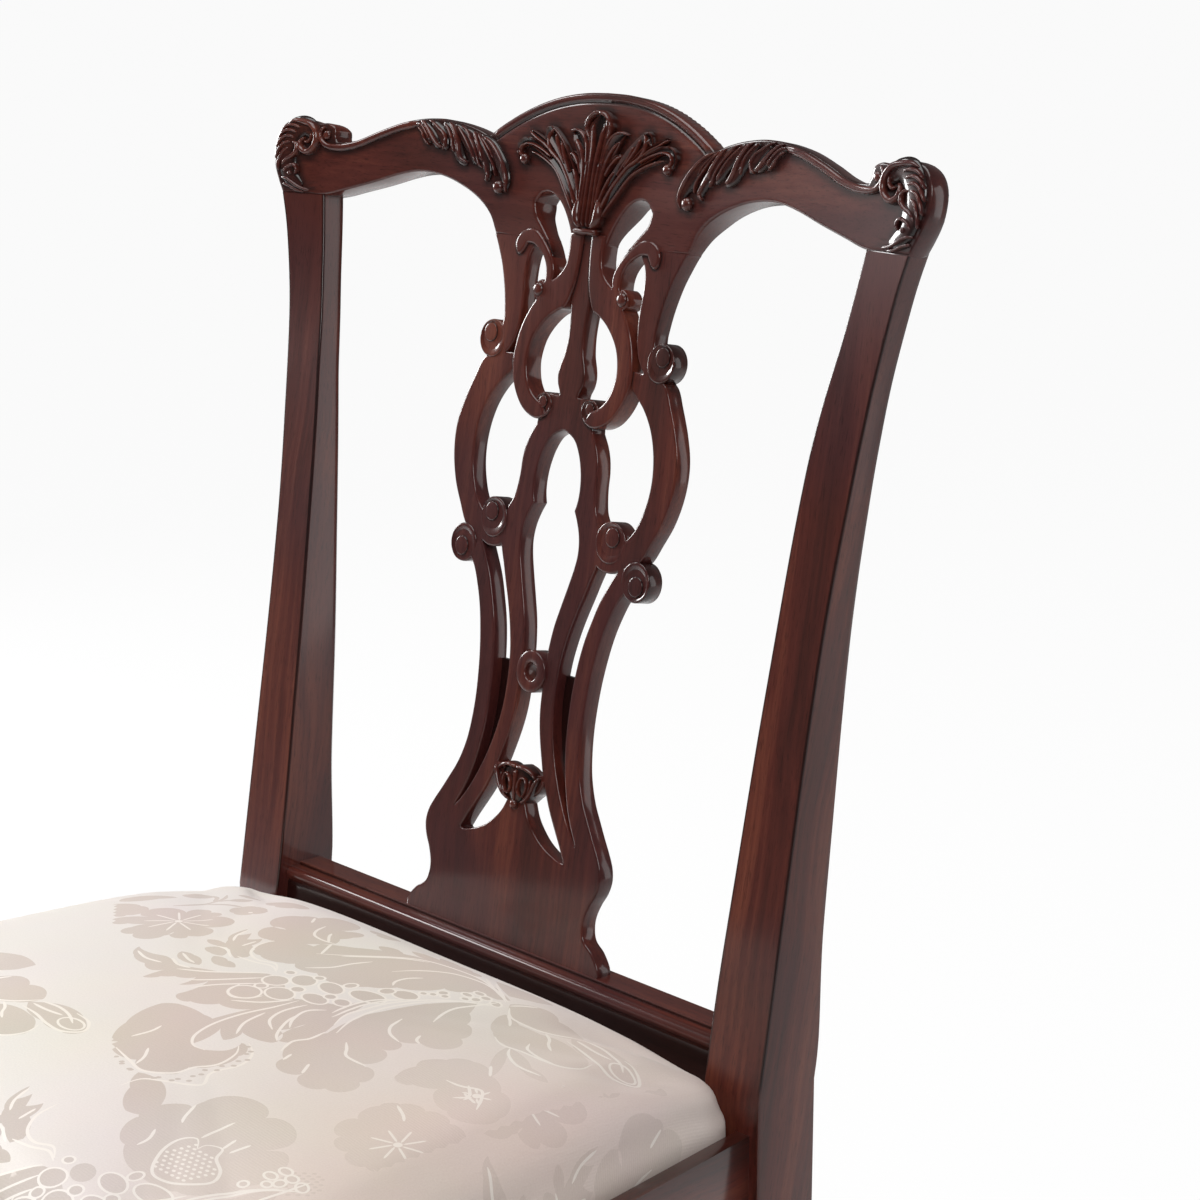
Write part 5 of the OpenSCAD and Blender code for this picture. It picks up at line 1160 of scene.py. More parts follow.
for side, name in bothNames:
    a = (np.arange(56) + 0.5) * 2 * math.pi / 56
    rings = [np.column_stack([*legPoint(side, out, a, radius, power), np.full(56, z)])
             for z, out, radius, power in curveThrough(legStations, 4.0)]
    v, f = loft(rings[::-1])
    parts = [(v, [g if side > 0 else g[::-1] for g in f], np.zeros(len(v)))]
    ballAt = (*legPoint(side, leg["footOut"], 0, 0), leg["ballZ"])
    rings = [np.column_stack([circlePoints(ballAt[:2], leg["ballRadius"] * max(0.02, math.cos(b)), 40),
                              np.full(40, ballAt[2] + leg["ballRadius"] * math.sin(b))])
             for b in np.radians(np.linspace(-90, 90, 25))]
    parts.append((*loft(rings), np.zeros(25 * 40)))
    for way in np.radians(clawTurns):
        rows = []
        for out, z, r in clawBone:
            x, y = legPoint(side, leg["footOut"] * (1 if z < 60 else 0.4), way, 0)
            rows.append((x + side * out * math.cos(way), y + out * math.sin(way), z, r))
        v, f = clawTube(rows, ballAt)
        parts.append((v, f, np.zeros(len(v))))
    v, f, r = joinParts(parts)
    mesh = makePiece("cabrioleLeg" + name, v, f, woodLeg, sharp=50).data
    bm = bmesh.new()
    bm.from_mesh(mesh)
    bmesh.ops.recalc_face_normals(bm, faces=bm.faces)
    bm.to_mesh(mesh)
    bm.free()
    softCopy("front_leg_" + name.lower(), "legBlock" + name, woodLeg, 0.0015,
             cut=leg["blockZ"] / 1000)
print("legs made")

# Drop-in seat: a rounded trapezium, every ring drawn from it
seat = {"rearY": 145.581, "frontY": -259.819, "halfAtZero": 244.5, "splay": math.radians(7.7956),
        "lip": 10.6, "lowZ": 418.3, "frameTopZ": 437.6, "edgeTopZ": 477.6, "crown": 14.0, "cornerDip": 10.0,
        "edgePull": 2.0}
arcSteps, sideSteps = 9, 50


# Half the seat's width at a depth, less the rail's lip and a further inset
def besideLip(y, inset):
    outer = seat["halfAtZero"] - (y - post["centreY"]) * math.tan(seat["splay"])
    return outer - (seat["lip"] + inset) / math.cos(seat["splay"])


def seatRing(inset, corner, z, pull=0.0, dip=0.0):
    def at(i, r):
        y = seat["rearY"] - r if i < 2 else seat["frontY"] + r
        return np.array([-besideLip(y, r) if i in (1, 2) else besideLip(y, r), y])
    s = math.degrees(seat["splay"])
    turns = ((s, 90), (90, 180 - s), (180 - s, 270), (270, 360 + s))
    out = []
    for i, (first, last) in enumerate(turns):
        c, n, r = at(i, corner), at((i + 1) % 4, corner), corner - inset
        for k in range(arcSteps + 1):
            b = math.radians(first + (last - first) * k / arcSteps)
            out.append((c[0] + r * math.cos(b), c[1] + r * math.sin(b), z - dip))
        b = math.radians(last)
        for k in range(1, sideSteps):
            u = k / sideSteps
            q, away = c + (n - c) * u, r - pull * 4 * u * (1 - u)
            out.append((q[0] + away * math.cos(b), q[1] + away * math.sin(b), z - dip * (2 * u - 1) ** 4))
    return np.array(out)


# Each row: inset, share of the height over the frame, share of the drawn-in, corner radius
edgeRise = [(0.2, 0, 0, 10), (-0.2, 0.1, 0.15, 11), (-0.9, 0.3, 0.4, 12), (-0.9, 0.43, 0.6, 14),
            (-0.5, 0.56, 0.8, 16), (0.5, 0.67, 0.92, 19), (2.2, 0.77, 1, 23), (4.8, 0.86, 1, 28),
            (8.5, 0.93, 1, 33), (13.5, 0.98, 1, 39), (20, 1, 1, 46)]
underFrame = [(30, 34, seat["lowZ"]), (14, 22, seat["lowZ"]), (1.2, 10, seat["lowZ"]),
              (0.3, 10, seat["lowZ"] + 1.2), (0.2, 10, 428), (0.2, 10, seat["frameTopZ"])]
coverRings = [seatRing(*row) for row in underFrame]
for inset, share, pull, corner in edgeRise[1:]:
    z = seat["frameTopZ"] + (seat["edgeTopZ"] - seat["frameTopZ"]) * share
    coverRings.append(seatRing(inset, corner, z, seat["edgePull"] * pull, seat["cornerDip"] * share))
crownTip = np.array([0, (seat["rearY"] + seat["frontY"]) / 2, seat["edgeTopZ"] + seat["crown"]])
topRing = coverRings[-1]
for q in np.linspace(0.955, 0.06, 24):
    coverRings.append(np.column_stack([crownTip[:2] + (topRing[:, :2] - crownTip[:2]) * q,
                                       crownTip[2] - (crownTip[2] - topRing[:, 2]) * q * q]))
ringCount, ringSize = len(coverRings), len(topRing)
# the cloth's own flat place of every point: plan on top, unrolled outwards over the edge and under the frame
topAt = 15
flatRings = [r[:, :2].copy() for r in coverRings]
for i in range(topAt - 1, -1, -1):
    outward = topRing[:, :2] - coverRings[topAt + 5][:, :2]
    outward /= np.linalg.norm(outward, axis=1)[:, None]
    stepLength = np.linalg.norm(coverRings[i] - coverRings[i + 1], axis=1)[:, None]
    flatRings[i] = flatRings[i + 1] + outward * np.maximum(stepLength, 0.3)
v = np.vstack([*coverRings, crownTip[None]])
flatPlan = np.vstack([*flatRings, crownTip[None, :2]])
f = cappedFaces(ringCount, ringSize)


# The cloth is stretched over its stuffing: inflated a little, held where the frame holds it
def puffed(points, faces, pinnedBelow, cap):
    work = workObject("puff", points, faces)
    group = work.vertex_groups.new(name="pin")
    group.add([i for i, q in enumerate(points) if q[2] < pinnedBelow], 1.0, "ADD")
    cloth = work.modifiers.new("cloth", "CLOTH")
    cloth.settings.vertex_group_mass = "pin"
    cloth.settings.use_pressure = True
    cloth.settings.uniform_pressure_force = 4.0
    cloth.settings.quality = 6
    cloth.settings.bending_stiffness = 3.0
    cloth.settings.effector_weights.gravity = 0.0
    for k in range(1, 21):
        scene.frame_set(k)
    shape = evaluated(work).data
    out = np.zeros(len(points) * 3)
    shape.vertices.foreach_get("co", out)
    out = out.reshape(-1, 3) * 1000
    scene.frame_set(1)
    bpy.data.objects.remove(work)
    move = out - points
    far = np.linalg.norm(move, axis=1)[:, None]
    return points + move * np.minimum(1, cap / np.maximum(far, 1e-6))


coverShape = puffed(v, f, seat["frameTopZ"] + 2, 5.0)
print("cushion inflated", float(np.abs(coverShape - v).max()))

# Damask figures from above, in millimetres: points where two lobes meet and the bulge of the lobe after each
figures = {
    "aster": [(-109, 24, .5), (-123, 47, .1), (-127, 41, .6), (-137, 48, .45), (-149, 42, .1),
              (-145, 35, .5), (-158, 9, .05), (-150, 11, .1), (-164, -4, .5), (-148, -7, .05),
              (-138, 0, .1), (-139, -10, .5), (-126, -17, .45), (-109, -6, .15), (-111, 3, .4),
              (-96, 1, .1), (-99, 5, .5)],
    "asterSide": [(-196, 12, .2), (-178, 22, .4), (-165, 3, .4), (-170, -3, .1), (-185, 4, .1)],
    "sprigLow": [(-184, 54, .1), (-188, 42, .15), (-200, 20, .2), (-206, 28, .1), (-198, 46, .1)],
    "sprigRound": [(-137, 71, .25), (-131, 80, .2), (-118, 79, .3), (-116, 66, .3), (-127, 59, .3)],
    "sprigSide": [(-174, 76, .3), (-190, 66, .3), (-186, 60, .25), (-176, 68, .1)],
    "sprigTall": [(-158, 76, .15), (-153, 92, .2), (-149, 90, .15), (-153, 78, .1)],
    "sprigTop": [(-169, 92, .15), (-158, 105, .2), (-154, 101, .15), (-162, 92, .1)],
    "bud": [(-140, 107, .15), (-108, 107, .2), (-114, 98, .3), (-127, 93, .4)],
    "oak": [(-72, 60, .45), (-92, 88, .2), (-84, 95, .45), (-52, 101, .1), (-54, 90, .05), (-50, 92, .7),
            (-38, 87, .1), (-39, 77, .1), (-32, 67, .02), (-45, 46, .1), (-62, 38, .25), (-82, 55, .2),
            (-78, 60, .1)],
    "round": [(-46, 50, .1), (-56, 36, .2), (-49, 20, .2), (-38, 16, .15), (-19, 19, .25), (-14, 34, .2),
              (-26, 52, .1)],
    "acanthus": [(-36, 60, .03), (-20, 74, .03), (0, 92, .05), (25, 103, .04), (60, 108, .03),
                 (103, 95, .02), (98, 88, .05), (80, 88, .3), (69, 72, .1), (66, 58, .1), (54, 48, .1),
                 (44, 34, .1), (30, 22, .1), (8, 24, .1), (-8, 20, .1), (-20, 34, .1)],
    "feather": [(-87, 42, .05), (-85, 30, .1), (-76, 19, .1), (-58, 8, .05), (-43, 1, .02), (-40, 8, .1),
                (-57, 23, .1), (-64, 36, -.08), (-69, 28, .02), (-78, 38, -.08), (-80, 29, .02)],
    "leafletA": [(-85, 10, .15), (-75, 14, .1), (-63, 10, .1), (-72, 7, .15)],
    "leafletB": [(-72, -1, .2), (-66, 7, .2), (-52, -2, .1), (-62, -4, .1)],
    "leafletC": [(-75, -16, .1), (-64, -14, .15), (-47, -22, .1), (-62, -25, .15)],
    "leafletD": [(-55, -6, .15), (-42, -5, .15), (-29, -9, .1), (-40, -14, .15)],
    "sweep": [(-8, 0, .02), (-28, -20, .03), (-52, -31, .05), (-66, -29, .1), (-78, -29, -.1),
              (-101, -29, .12), (-90, -40, .1), (-72, -44, .1), (-60, -48, .15), (-54, -42, .02),
              (-53, -58, .2), (-46, -50, .05), (-40, -44, .15), (-30, -36, -.1), (-27, -50, .15),
              (-20, -34, -.1), (-15, -58, .3), (0, -60, .15), (14, -50, .15), (32, -42, .1), (38, -14, .05),
              (20, -8, .1)],
    "ribbed": [(36, -12, .02), (33, -40, .02), (30, -60, .1), (40, -92, .05), (50, -96, .1), (44, -70, .05),
               (58, -78, .2), (56, -64, .1), (78, -60, .3), (66, -48, .1), (70, -30, .1), (76, -55, .3),
               (86, -30, .02), (74, -8, .02), (64, 20, .03), (58, 2, .02)],
    "peony": [(108, 90, .1), (118, 105, .1), (127, 108, .1), (138, 104, .1), (152, 106, .1), (165, 97, .15),
              (156, 84, .1), (138, 78, .1), (120, 79, .05)],
    "petalLow": [(119, 77, .1), (122, 65, .1), (135, 53, .1), (150, 48, .1), (166, 50, .05), (186, 52, .1),
                 (198, 62, .2), (195, 73, .1), (178, 80, .05), (160, 80, .05), (150, 76, .05),
                 (134, 74, .05)],
    "petalFar": [(162, 89, .03), (176, 98, .05), (192, 101, .05), (208, 98, .05), (223, 89, .25),
                 (212, 80, .1), (192, 80, .05), (172, 82, .03)],
    "petalBack": [(66, 118, .05), (96, 100, .05), (110, 112, .05), (112, 124, .05), (90, 128, .05)],
    "rearLeaf": [(0, 104, .1), (12, 110, .1), (34, 106, .1), (18, 101, .1)],
    "rearLobe": [(-16, 90, .2), (-2, 96, .1), (6, 92, .1), (-6, 86, .1)],
    "rearScroll": [(14, 118, .2), (32, 118, .2), (46, 116, .2), (58, 112, .2), (46, 106, .1), (26, 108, .1)],
    "rearBud": [(-50, 112, .2), (-28, 120, .2), (-26, 112, .3), (-40, 109, .2)],
    "bigLeaf": [(97, 74, .02), (108, 58, .1), (119, 47, .2), (134, 30, .5), (128, 6, .1), (119, -3, .45),
                (122, -17, .4), (128, -38, .05), (134, -38, .35), (147, -52, .4), (142, -71, .4),
                (121, -70, .4), (99, -67, .1), (84, -50, .05), (87, -28, .02), (78, 5, .02), (84, 45, .02)],
    "leafRight": [(146, -8, .1), (153, 4, .2), (163, 15, .2), (180, 12, .1), (200, 4, .2), (222, -14, .35),
                  (200, -34, .2), (178, -22, .1), (166, -30, .35), (152, -30, .1), (150, -15, .1)],
    "stalk": [(156, 46, .05), (163, 30, .05), (183, 10, .05), (178, 22, .02), (167, 36, .02), (190, 30, .1),
              (205, 34, .1), (186, 38, .05), (165, 46, .05)],
    "heart": [(-9, -74, .1), (0, -67, .05), (22, -66, .1), (36, -68, .02), (40, -86, -.05), (54, -95, -.1),
              (70, -86, -.15), (68, -73, .25), (81, -84, .15), (83, -100, .1), (74, -112, .1),
              (76, -122, .1), (60, -131, .15), (46, -127, .15), (20, -126, .1), (0, -104, .1)],
    "netEdge": [(60, -135, .1), (72, -148, .1), (92, -164, .1), (106, -158, .05), (96, -142, .05),
                (84, -134, .1)],
    "rose": [(113, -128, .35), (150, -116, .35), (181, -128, .05), (176, -138, .05), (184, -130, .3),
             (197, -162, .2), (178, -190, .1), (150, -196, .1), (122, -184, .2), (103, -163, .3),
             (114, -137, .05)],
    "chrysanthemum": [(175, -60, .25), (180, -50, .25), (194, -44, .25), (212, -42, .25), (232, -48, .25),
                      (240, -66, .25), (237, -90, .25), (222, -105, .35), (205, -103, .35), (190, -97, .35),
                      (180, -78, .2)]}
# Ovals ringed in cream: middle, half length, half width, turn in degrees
ovals = [(14, 10, 9, 7, -25), (34, 15, 10, 6, -15), (57, 24, 12, 7, 10), (67, 44, 8, 6, 10),
         (4, -3, 8, 7, 0), (42, -3, 9, 5.5, 0), (23, -14, 10, 7.5, -10), (56, 6, 5, 4, 0),
         (45, 6, 3.5, 3, 0), (24, -2, 4, 3.5, 0), (8, -28, 10, 8.5, 0), (6, -15, 3.5, 3, 0),
         (-2, 12, 3, 2.5, 0), (37, 27, 3, 4, 0), (56, 39, 4, 4.5, 0), (16, 20, 3, 2.5, 0),
         (86, 85, 3.6, 2.2, 0), (94, 83, 3.2, 2.4, 0), (104, 82, 4, 2.6, -20), (84, 77, 3.6, 2.2, 0),
         (93, 76, 2.6, 2.6, 0), (89, 71, 2.4, 1.8, 0), (75, 66, 2.8, 2.8, 0), (74, 59, 2, 1.8, 0),
         (80, 63, 2.2, 2, 0), (70, 55, 2, 1.8, 0), (208, 89, 10, 5, 0), (-120, 67, .1, .1, 0)]
# Cream lines within the figures, by where they run
lines = [[(-33, 66), (-20, 48)], [(-22, 46), (-8, 62), (5, 82), (18, 97), (35, 104), (60, 107), (85, 100),
                                  (104, 92)], [(-10, 56), (2, 74), (12, 88), (24, 98)],
         [(29, 64), (34, 78), (42, 90), (52, 98), (70, 102), (88, 98), (104, 90)],
         [(48, 73), (44, 64), (45, 54), (50, 48)], [(8, 66), (5, 52), (4, 38), (-4, 24)],
         [(60, 114), (76, 104), (92, 96), (104, 92)], [(72, 112), (84, 103), (98, 95)],
         [(103, 88), (101, 72), (98, 56), (101, 43), (107, 32)],
         [(108, 80), (92, 66), (83, 50), (78, 34), (76, 15), (80, -5), (90, -24)],
         [(100, 76), (86, 60), (78, 46), (72, 28), (71, 10), (72, -4), (80, -18)],
         [(76, 46), (68, 28), (66, 10), (70, -12)], [(70, 36), (63, 22), (62, 6), (65, -8)],
         [(94, 20), (99, 8), (108, 0), (120, -3)], [(103, -27), (110, -32), (118, -38), (134, -37)],
         [(119, 13), (123, 7), (128, 5)], [(85, -28), (87, -40), (84, -50), (90, -62)],
         [(113, -60), (120, -70)], [(97, -60), (100, -68)],
         [(39, -12), (38, -30), (35, -50), (36, -70), (42, -86), (52, -94), (62, -93)],
         [(47, -12), (46, -28), (52, -42), (64, -49)], [(42, -38), (46, -55), (56, -68)],
         [(60, -8), (54, -18), (60, -32), (68, -40)], [(56, -24), (60, -36), (70, -50), (78, -56)],
         [(-57, 40), (-55, 26), (-45, 14), (-32, 10), (-20, 14), (-10, 8)], [(-62, 30), (-60, 18)],
         [(-45, 4), (-30, 6), (-18, 10), (-8, 6)], [(-66, 87), (-61, 76), (-53, 68), (-42, 66), (-32, 68)],
         [(-51, 80), (-46, 74), (-36, 66)], [(-85, 93), (-77, 84)], [(-85, 40), (-80, 28), (-72, 20)],
         [(-70, 7), (-60, 7), (-46, 0)], [(-72, -17), (-60, -21), (-52, -22)],
         [(-68, -27), (-56, -31), (-46, -29)], [(-95, -34), (-80, -38), (-66, -36)],
         [(-10, 0), (-30, -22), (-50, -36)], [(-4, -6), (-18, -28), (-30, -42)],
         [(2, -14), (-12, -34), (-18, -48)], [(-4, -22), (0, -34), (10, -38), (18, -32), (20, -24)],
         [(36, -14), (28, -30), (14, -42)], [(110, 88), (113, 96), (118, 104)],
         [(120, 78), (128, 72), (132, 68)], [(150, 80), (158, 76), (163, 71), (170, 67)],
         [(157, 62), (163, 55), (176, 52), (190, 54)],
         [(140, 50), (152, 46), (164, 49), (180, 51), (192, 56), (198, 66), (195, 76)],
         [(112, 86), (124, 77), (140, 78), (152, 83), (160, 90), (166, 97)],
         [(164, 84), (180, 83), (196, 80), (212, 80), (222, 88), (214, 97), (198, 99)],
         [(166, 90), (180, 90), (194, 92)], [(168, 95), (182, 97), (196, 95), (208, 90)],
         [(158, 46), (166, 38), (180, 33), (196, 36)], [(172, 20), (182, 11)],
         [(172, -12), (182, -10), (192, -4), (200, -10), (208, -20)], [(184, -6), (194, -14), (190, -22)],
         [(190, -14), (202, -16)], [(180, -52), (190, -56), (196, -60)],
         [(143, -130), (143, -142), (144, -152)], [(113, -134), (120, -146), (124, -150)],
         [(120, -164), (126, -172), (127, -180)], [(158, -140), (160, -150)], [(168, -138), (166, -150)],
         [(152, -160), (143, -154), (137, -162), (142, -176), (156, -190), (172, -186), (183, -174),
          (178, -164), (166, -158), (160, -150), (152, -154), (152, -160)],
         [(18, -92), (20, -100), (18, -112)], [(38, -114), (46, -122), (50, -130)],
         [(71, -70), (84, -77), (91, -90), (88, -107), (96, -119), (80, -130), (68, -138), (66, -150)],
         [(70, -76), (78, -84), (82, -98), (76, -110), (74, -122), (60, -132), (44, -130), (24, -126)]]
starLines = {"aster": ((-130, 19), 22, 9), "chrysanthemum": ((214, -78), 16, 8),
             "leafRight": ((196, -10), 9, 6)}
# repeats of the pattern: offset, zone, and whether a figure has to lie wholly in the zone
zones = {
    "whole": lambda x, y: (y > -112 - 0.64 * x) & (x < 228),
    "frontLeft": lambda x, y: y < -112 - 0.64 * x,
    "right": lambda x, y: x > 228,
    "front": lambda x, y: (x > 10) & ((y < -125 - 0.64 * x) | ((x > 130) & (y < -188))
                                      | ((x > 186) & (y < -128)))}
repeats = [((0, 0), "whole", False), ((-230, -215), "frontLeft", False), ((345, -10), "right", False),
           ((115, -225), "front", True)]


def showsIn(shape, within, whole):
    inside = zones[within](*shape.T)
    return inside.all() if whole else inside.any()


def lobedOutline(rows):
    p = np.array(rows, float)
    way = 1 if signedArea(p) > 0 else -1
    out = []
    for (x0, y0, bulge), (x1, y1, _) in zip(p, np.roll(p, -1, 0)):
        a, chord = np.array([x0, y0]), np.array([x1 - x0, y1 - y0])
        t = np.linspace(0, 1, max(4, math.ceil(np.linalg.norm(chord) * (1 + abs(bulge)) / 2.2)))[:-1, None]
        full = min(1.0, abs(bulge) / 0.3)
        along = t + full * ((1 - np.cos(math.pi * t)) / 2 - t)
        out.append(a + chord * along + np.array([chord[1], -chord[0]]) * way * bulge * np.sin(math.pi * t))
    return np.vstack(out)


def lineOutline(points, width):
    c = curveThrough(points, 2.4)
    along = np.gradient(c, axis=0)
    along /= np.linalg.norm(along, axis=1)[:, None]
    fromEnd = np.minimum(np.linspace(0, 1, len(c)), np.linspace(1, 0, len(c)))
    half = width / 2 * np.minimum(1, 0.25 + 4 * fromEnd)[:, None]
    side = np.stack([-along[:, 1], along[:, 0]], 1) * half
    return np.vstack([c + side, (c - side)[::-1]])


def ovalOutline(x, y, a, b, turn, grow=0.0):
    r = math.radians(turn)
    u, w = (roundAbout(14 if a < 5 else 22) * (a + grow, b + grow)).T
    return np.stack([x + u * math.cos(r) - w * math.sin(r), y + u * math.sin(r) + w * math.cos(r)], 1)


woven = [(lobedOutline(rows), figureWeave) for rows in figures.values()]
for x, y, a, b, turn in ovals:
    woven.append((ovalOutline(x, y, a, b, turn, 1.5), lineWeave))
    woven.append((ovalOutline(x, y, a, b, turn), figureWeave))
lineWidths = {"vein": 1.9, "ray": 1.5, "stem": 3.2}
woven += [(lineOutline(points, lineWidths["vein"]), lineWeave) for points in lines]
for (x, y), reach, rays in starLines.values():
    for k in range(rays):
        t = 2 * math.pi * k / rays + 0.3
        ray = [(x + r * math.cos(t + turn), y + r * math.sin(t + turn))
               for r, turn in ((3, 0), (reach, 0.15))]
        woven.append((lineOutline(ray, lineWidths["ray"]), lineWeave))
    woven.append((circlePoints((x, y), 2.6, 14), lineWeave))
stem = [[(-173, 86), (-164, 77), (-160, 64), (-161, 50), (-165, 38)], [(-158, 60), (-148, 68), (-137, 73)],
        [(-162, 68), (-170, 76), (-178, 78)], [(-160, 70), (-158, 78)]]
woven += [(lineOutline(points, lineWidths["stem"]), figureWeave) for points in stem]
# net stitches: rows of dots along the heart's border, in the rose's heart and on the ball
border = curveThrough([(76, -73), (87, -84), (87, -98), (84, -110), (86, -121), (70, -133), (52, -136),
                       (34, -132)], 1.0)
for k, q in enumerate(border[::5]):
    woven.append((ovalOutline(q[0] + (1.6 if k % 2 else -1.6), q[1], 1.7, 1.2, 40), figureWeave))
roseHeart = curveThrough([(152, -160), (143, -154), (139, -162), (143, -176), (156, -188), (171, -184),
                          (181, -174), (176, -165), (165, -159)])
for i in range(9):
    for k in range(9):
        q = np.array([148 + i * 4.2 - k * 1.2, -158 - k * 3.6 + i * 0.6])
        if insideOf(q[None], [roseHeart])[0]:
            woven.append((ovalOutline(*q, 1.3, 0.9, 0), lineWeave))
for i in range(7):
    for k in range(7):
        q = np.array([205 + i * 3.6, -152 + k * 3.6])
        if np.linalg.norm(q - (216, -141)) < 12:
            woven.append((ovalOutline(*q, 1.4, 1.0, 45), figureWeave))

# The cover, cut along the figures' outlines in its flat plan and then laid over the inflated shape
outerLoop = flatRings[0]


def subdivided(points, faces):
    work = workObject("fine", points, faces)
    work.modifiers.new("fine", "SUBSURF").levels = 1
    result = evaluated(work).to_mesh()
    result.calc_loop_triangles()
    out = np.array([list(q.co) for q in result.vertices]) * 1000
    tris = [tuple(t.vertices) for t in result.loop_triangles]
    bpy.data.objects.remove(work)
    return out, tris


shapeFine, trisFine = subdivided(coverShape, f)
flatFine, _ = subdivided(np.column_stack([flatPlan, np.zeros(len(flatPlan))]), f)
clothTree = BVHTree.FromPolygons([Vector(q) for q in flatFine], trisFine)
verts, edges = [], []
addLine(verts, edges, outerLoop)
for (dx, dy), within, whole in repeats:
    for shape, _ in woven:
        q = shape + (dx, dy)
        if showsIn(q, within, whole):
            addLine(verts, edges, q)
gridX, gridY = np.meshgrid(np.arange(-400, 401, 4.5), np.arange(-400, 301, 4.5))
grid = np.stack([gridX.ravel() + 2.25 * (np.arange(gridX.size) // gridX.shape[1] % 2), gridY.ravel()], 1)
addLine(verts, [], grid[insideOf(grid, [outerLoop * 0.995])])
flatPoints, tris, middles = triangulated(verts, edges, 1e-3)
keep = insideOf(middles, [outerLoop])
tris, middles = [t for t, k in zip(tris, keep) if k], middles[keep]
weave = np.zeros(len(tris))
for (dx, dy), within, whole in repeats:
    zone = zones[within](*middles.T)
    for shape, value in woven:
        q = shape + (dx, dy)
        if not showsIn(q, within, whole):
            continue
        near = zone & (abs(middles - (q.max(0) + q.min(0)) / 2) <= (q.max(0) - q.min(0)) / 2).all(1)
        index = np.nonzero(near)[0]
        weave[index[insideOf(middles[index], [q])]] = value
flatPoints, tris = withoutLoose(flatPoints, tris)
laid = []
for q in flatPoints:
    at, _, k, _ = clothTree.find_nearest(Vector((q[0], q[1], 0)))
    i, j, m = trisFine[k]
    laid.append(barycentric_transform(at, *(Vector(side[n])
                                            for side in (flatFine, shapeFine) for n in (i, j, m))))
piece = makePiece("damaskCover", laid, tris, damask, ("seat_cover",), "drop_in_seat", sharp=0)
piece.data.attributes.new("weave", "FLOAT", "FACE").data.foreach_set("value", weave.astype(np.float32))
clothUv = piece.data.uv_layers.new(name="cloth")
corners = np.zeros(len(piece.data.loops), int)
piece.data.loops.foreach_get("vertex_index", corners)
clothUv.data.foreach_set("uv", (flatPoints[corners] / 1000).astype(np.float32).ravel())
print("damask laid", len(laid), len(tris), {k: int((weave == k).sum()) for k in (0, 1, 2)})
pad = {"narrower": 0.97, "lower": 3.5, "overFrame": 4.2}
padShape = coverShape[5 * ringSize:].copy()
padShape[:, :2] = crownTip[:2] + (padShape[:, :2] - crownTip[:2]) * pad["narrower"]
padShape[:, 2] -= pad["lower"]
padShape[:ringSize, 2] = seat["frameTopZ"] + pad["overFrame"]
padFaces = [*cappedFaces(ringCount - 5, ringSize), list(range(ringSize))[::-1]]
piece = makePiece("seatStuffing", padShape, padFaces, wadding, ("seat_pad",), "drop_in_seat",
                  sharp=0)

# Webbing: four straps each way, woven over and under
webbing = {"z": 437.7, "thick": 1.2, "width": 50.0, "inset": 6.0, "frame": 44.0, "count": 4}
frameInset = 1.3


def frameX(y, inset=0.0):
    return besideLip(y, frameInset + inset)


def strapMesh(line, across, width, thick):
    half = np.array(across) * width / 2
    rings = [np.array([q - half, q + half, q + half + (0, 0, thick), q - half + (0, 0, thick)]) for q in line]
    return (*loft(rings), np.zeros(4 * len(line)))


rearFrameY, frontFrameY = seat["rearY"] - frameInset, seat["frontY"] + frameInset
half = frameX(rearFrameY, webbing["frame"]) + webbing["frame"] / 2 - webbing["width"] / 2
near = frontFrameY + webbing["frame"] * 0.7 + webbing["width"] / 2
far = rearFrameY - webbing["frame"] * 0.7 - webbing["width"] / 2
lengthX = [-half + 2 * half * i / (webbing["count"] - 1) for i in range(webbing["count"])]
crossY = [near + (far - near) * i / (webbing["count"] - 1) for i in range(webbing["count"])]
parts = []
for i, x in enumerate(lengthX):
    line = []
    for y in np.linspace(frontFrameY + webbing["inset"], rearFrameY - webbing["inset"], 90):
        over = max((1 - float(smoothStep(27, 45, abs(y - c)))) * ((i + j) % 2) for j, c in enumerate(crossY))
        line.append(np.array([x, y, webbing["z"] + webbing["thick"] * over]))
    parts.append(strapMesh(line, (1, 0, 0), webbing["width"], webbing["thick"] - 0.05))
for j, y in enumerate(crossY):
    reach, line = frameX(y + webbing["width"] / 2, webbing["inset"]), []
    for x in np.linspace(-reach, reach, 90):
        over = max((1 - float(smoothStep(27, 45, abs(x - c)))) * (1 - (i + j) % 2)
                   for i, c in enumerate(lengthX))
        line.append(np.array([x, y, webbing["z"] + webbing["thick"] * over]))
    parts.append(strapMesh(line, (0, 1, 0), webbing["width"], webbing["thick"] - 0.05))
v, f, r = joinParts(parts)
piece = makePiece("wovenWebbing", v, f, jute, ("seat_webbing",), "drop_in_seat", sharp=30)


# Flat cloth held round its edge: hessian over the webbing, and the dust cover below, which sags a little
def clothSheet(name, inset, z, sag, material, node):
    (x0, y0), (x1, y1) = ((frameX(y, inset), y) for y in (rearFrameY - inset, frontFrameY + inset))
    verts, n = [], 24
    for i in range(n + 1):
        x, y = x0 + (x1 - x0) * i / n, y0 + (y1 - y0) * i / n
        for k in range(n + 1):
            u, w = 2 * k / n - 1, 2 * i / n - 1
            hold = (1 - u ** 4) * (1 - w ** 4)
            verts.append((x * u, y, z - sag * hold + 0.12 * math.sin(9 * u + 4 * w) * (1 - hold)))
    row = n + 1
    faces = [[i + k, i + k + 1, i + row + k + 1, i + row + k]
             for i in range(0, n * row, row) for k in range(n)]
    sheet = makePiece(name, verts, faces, material, (node,), "drop_in_seat", sharp=0)


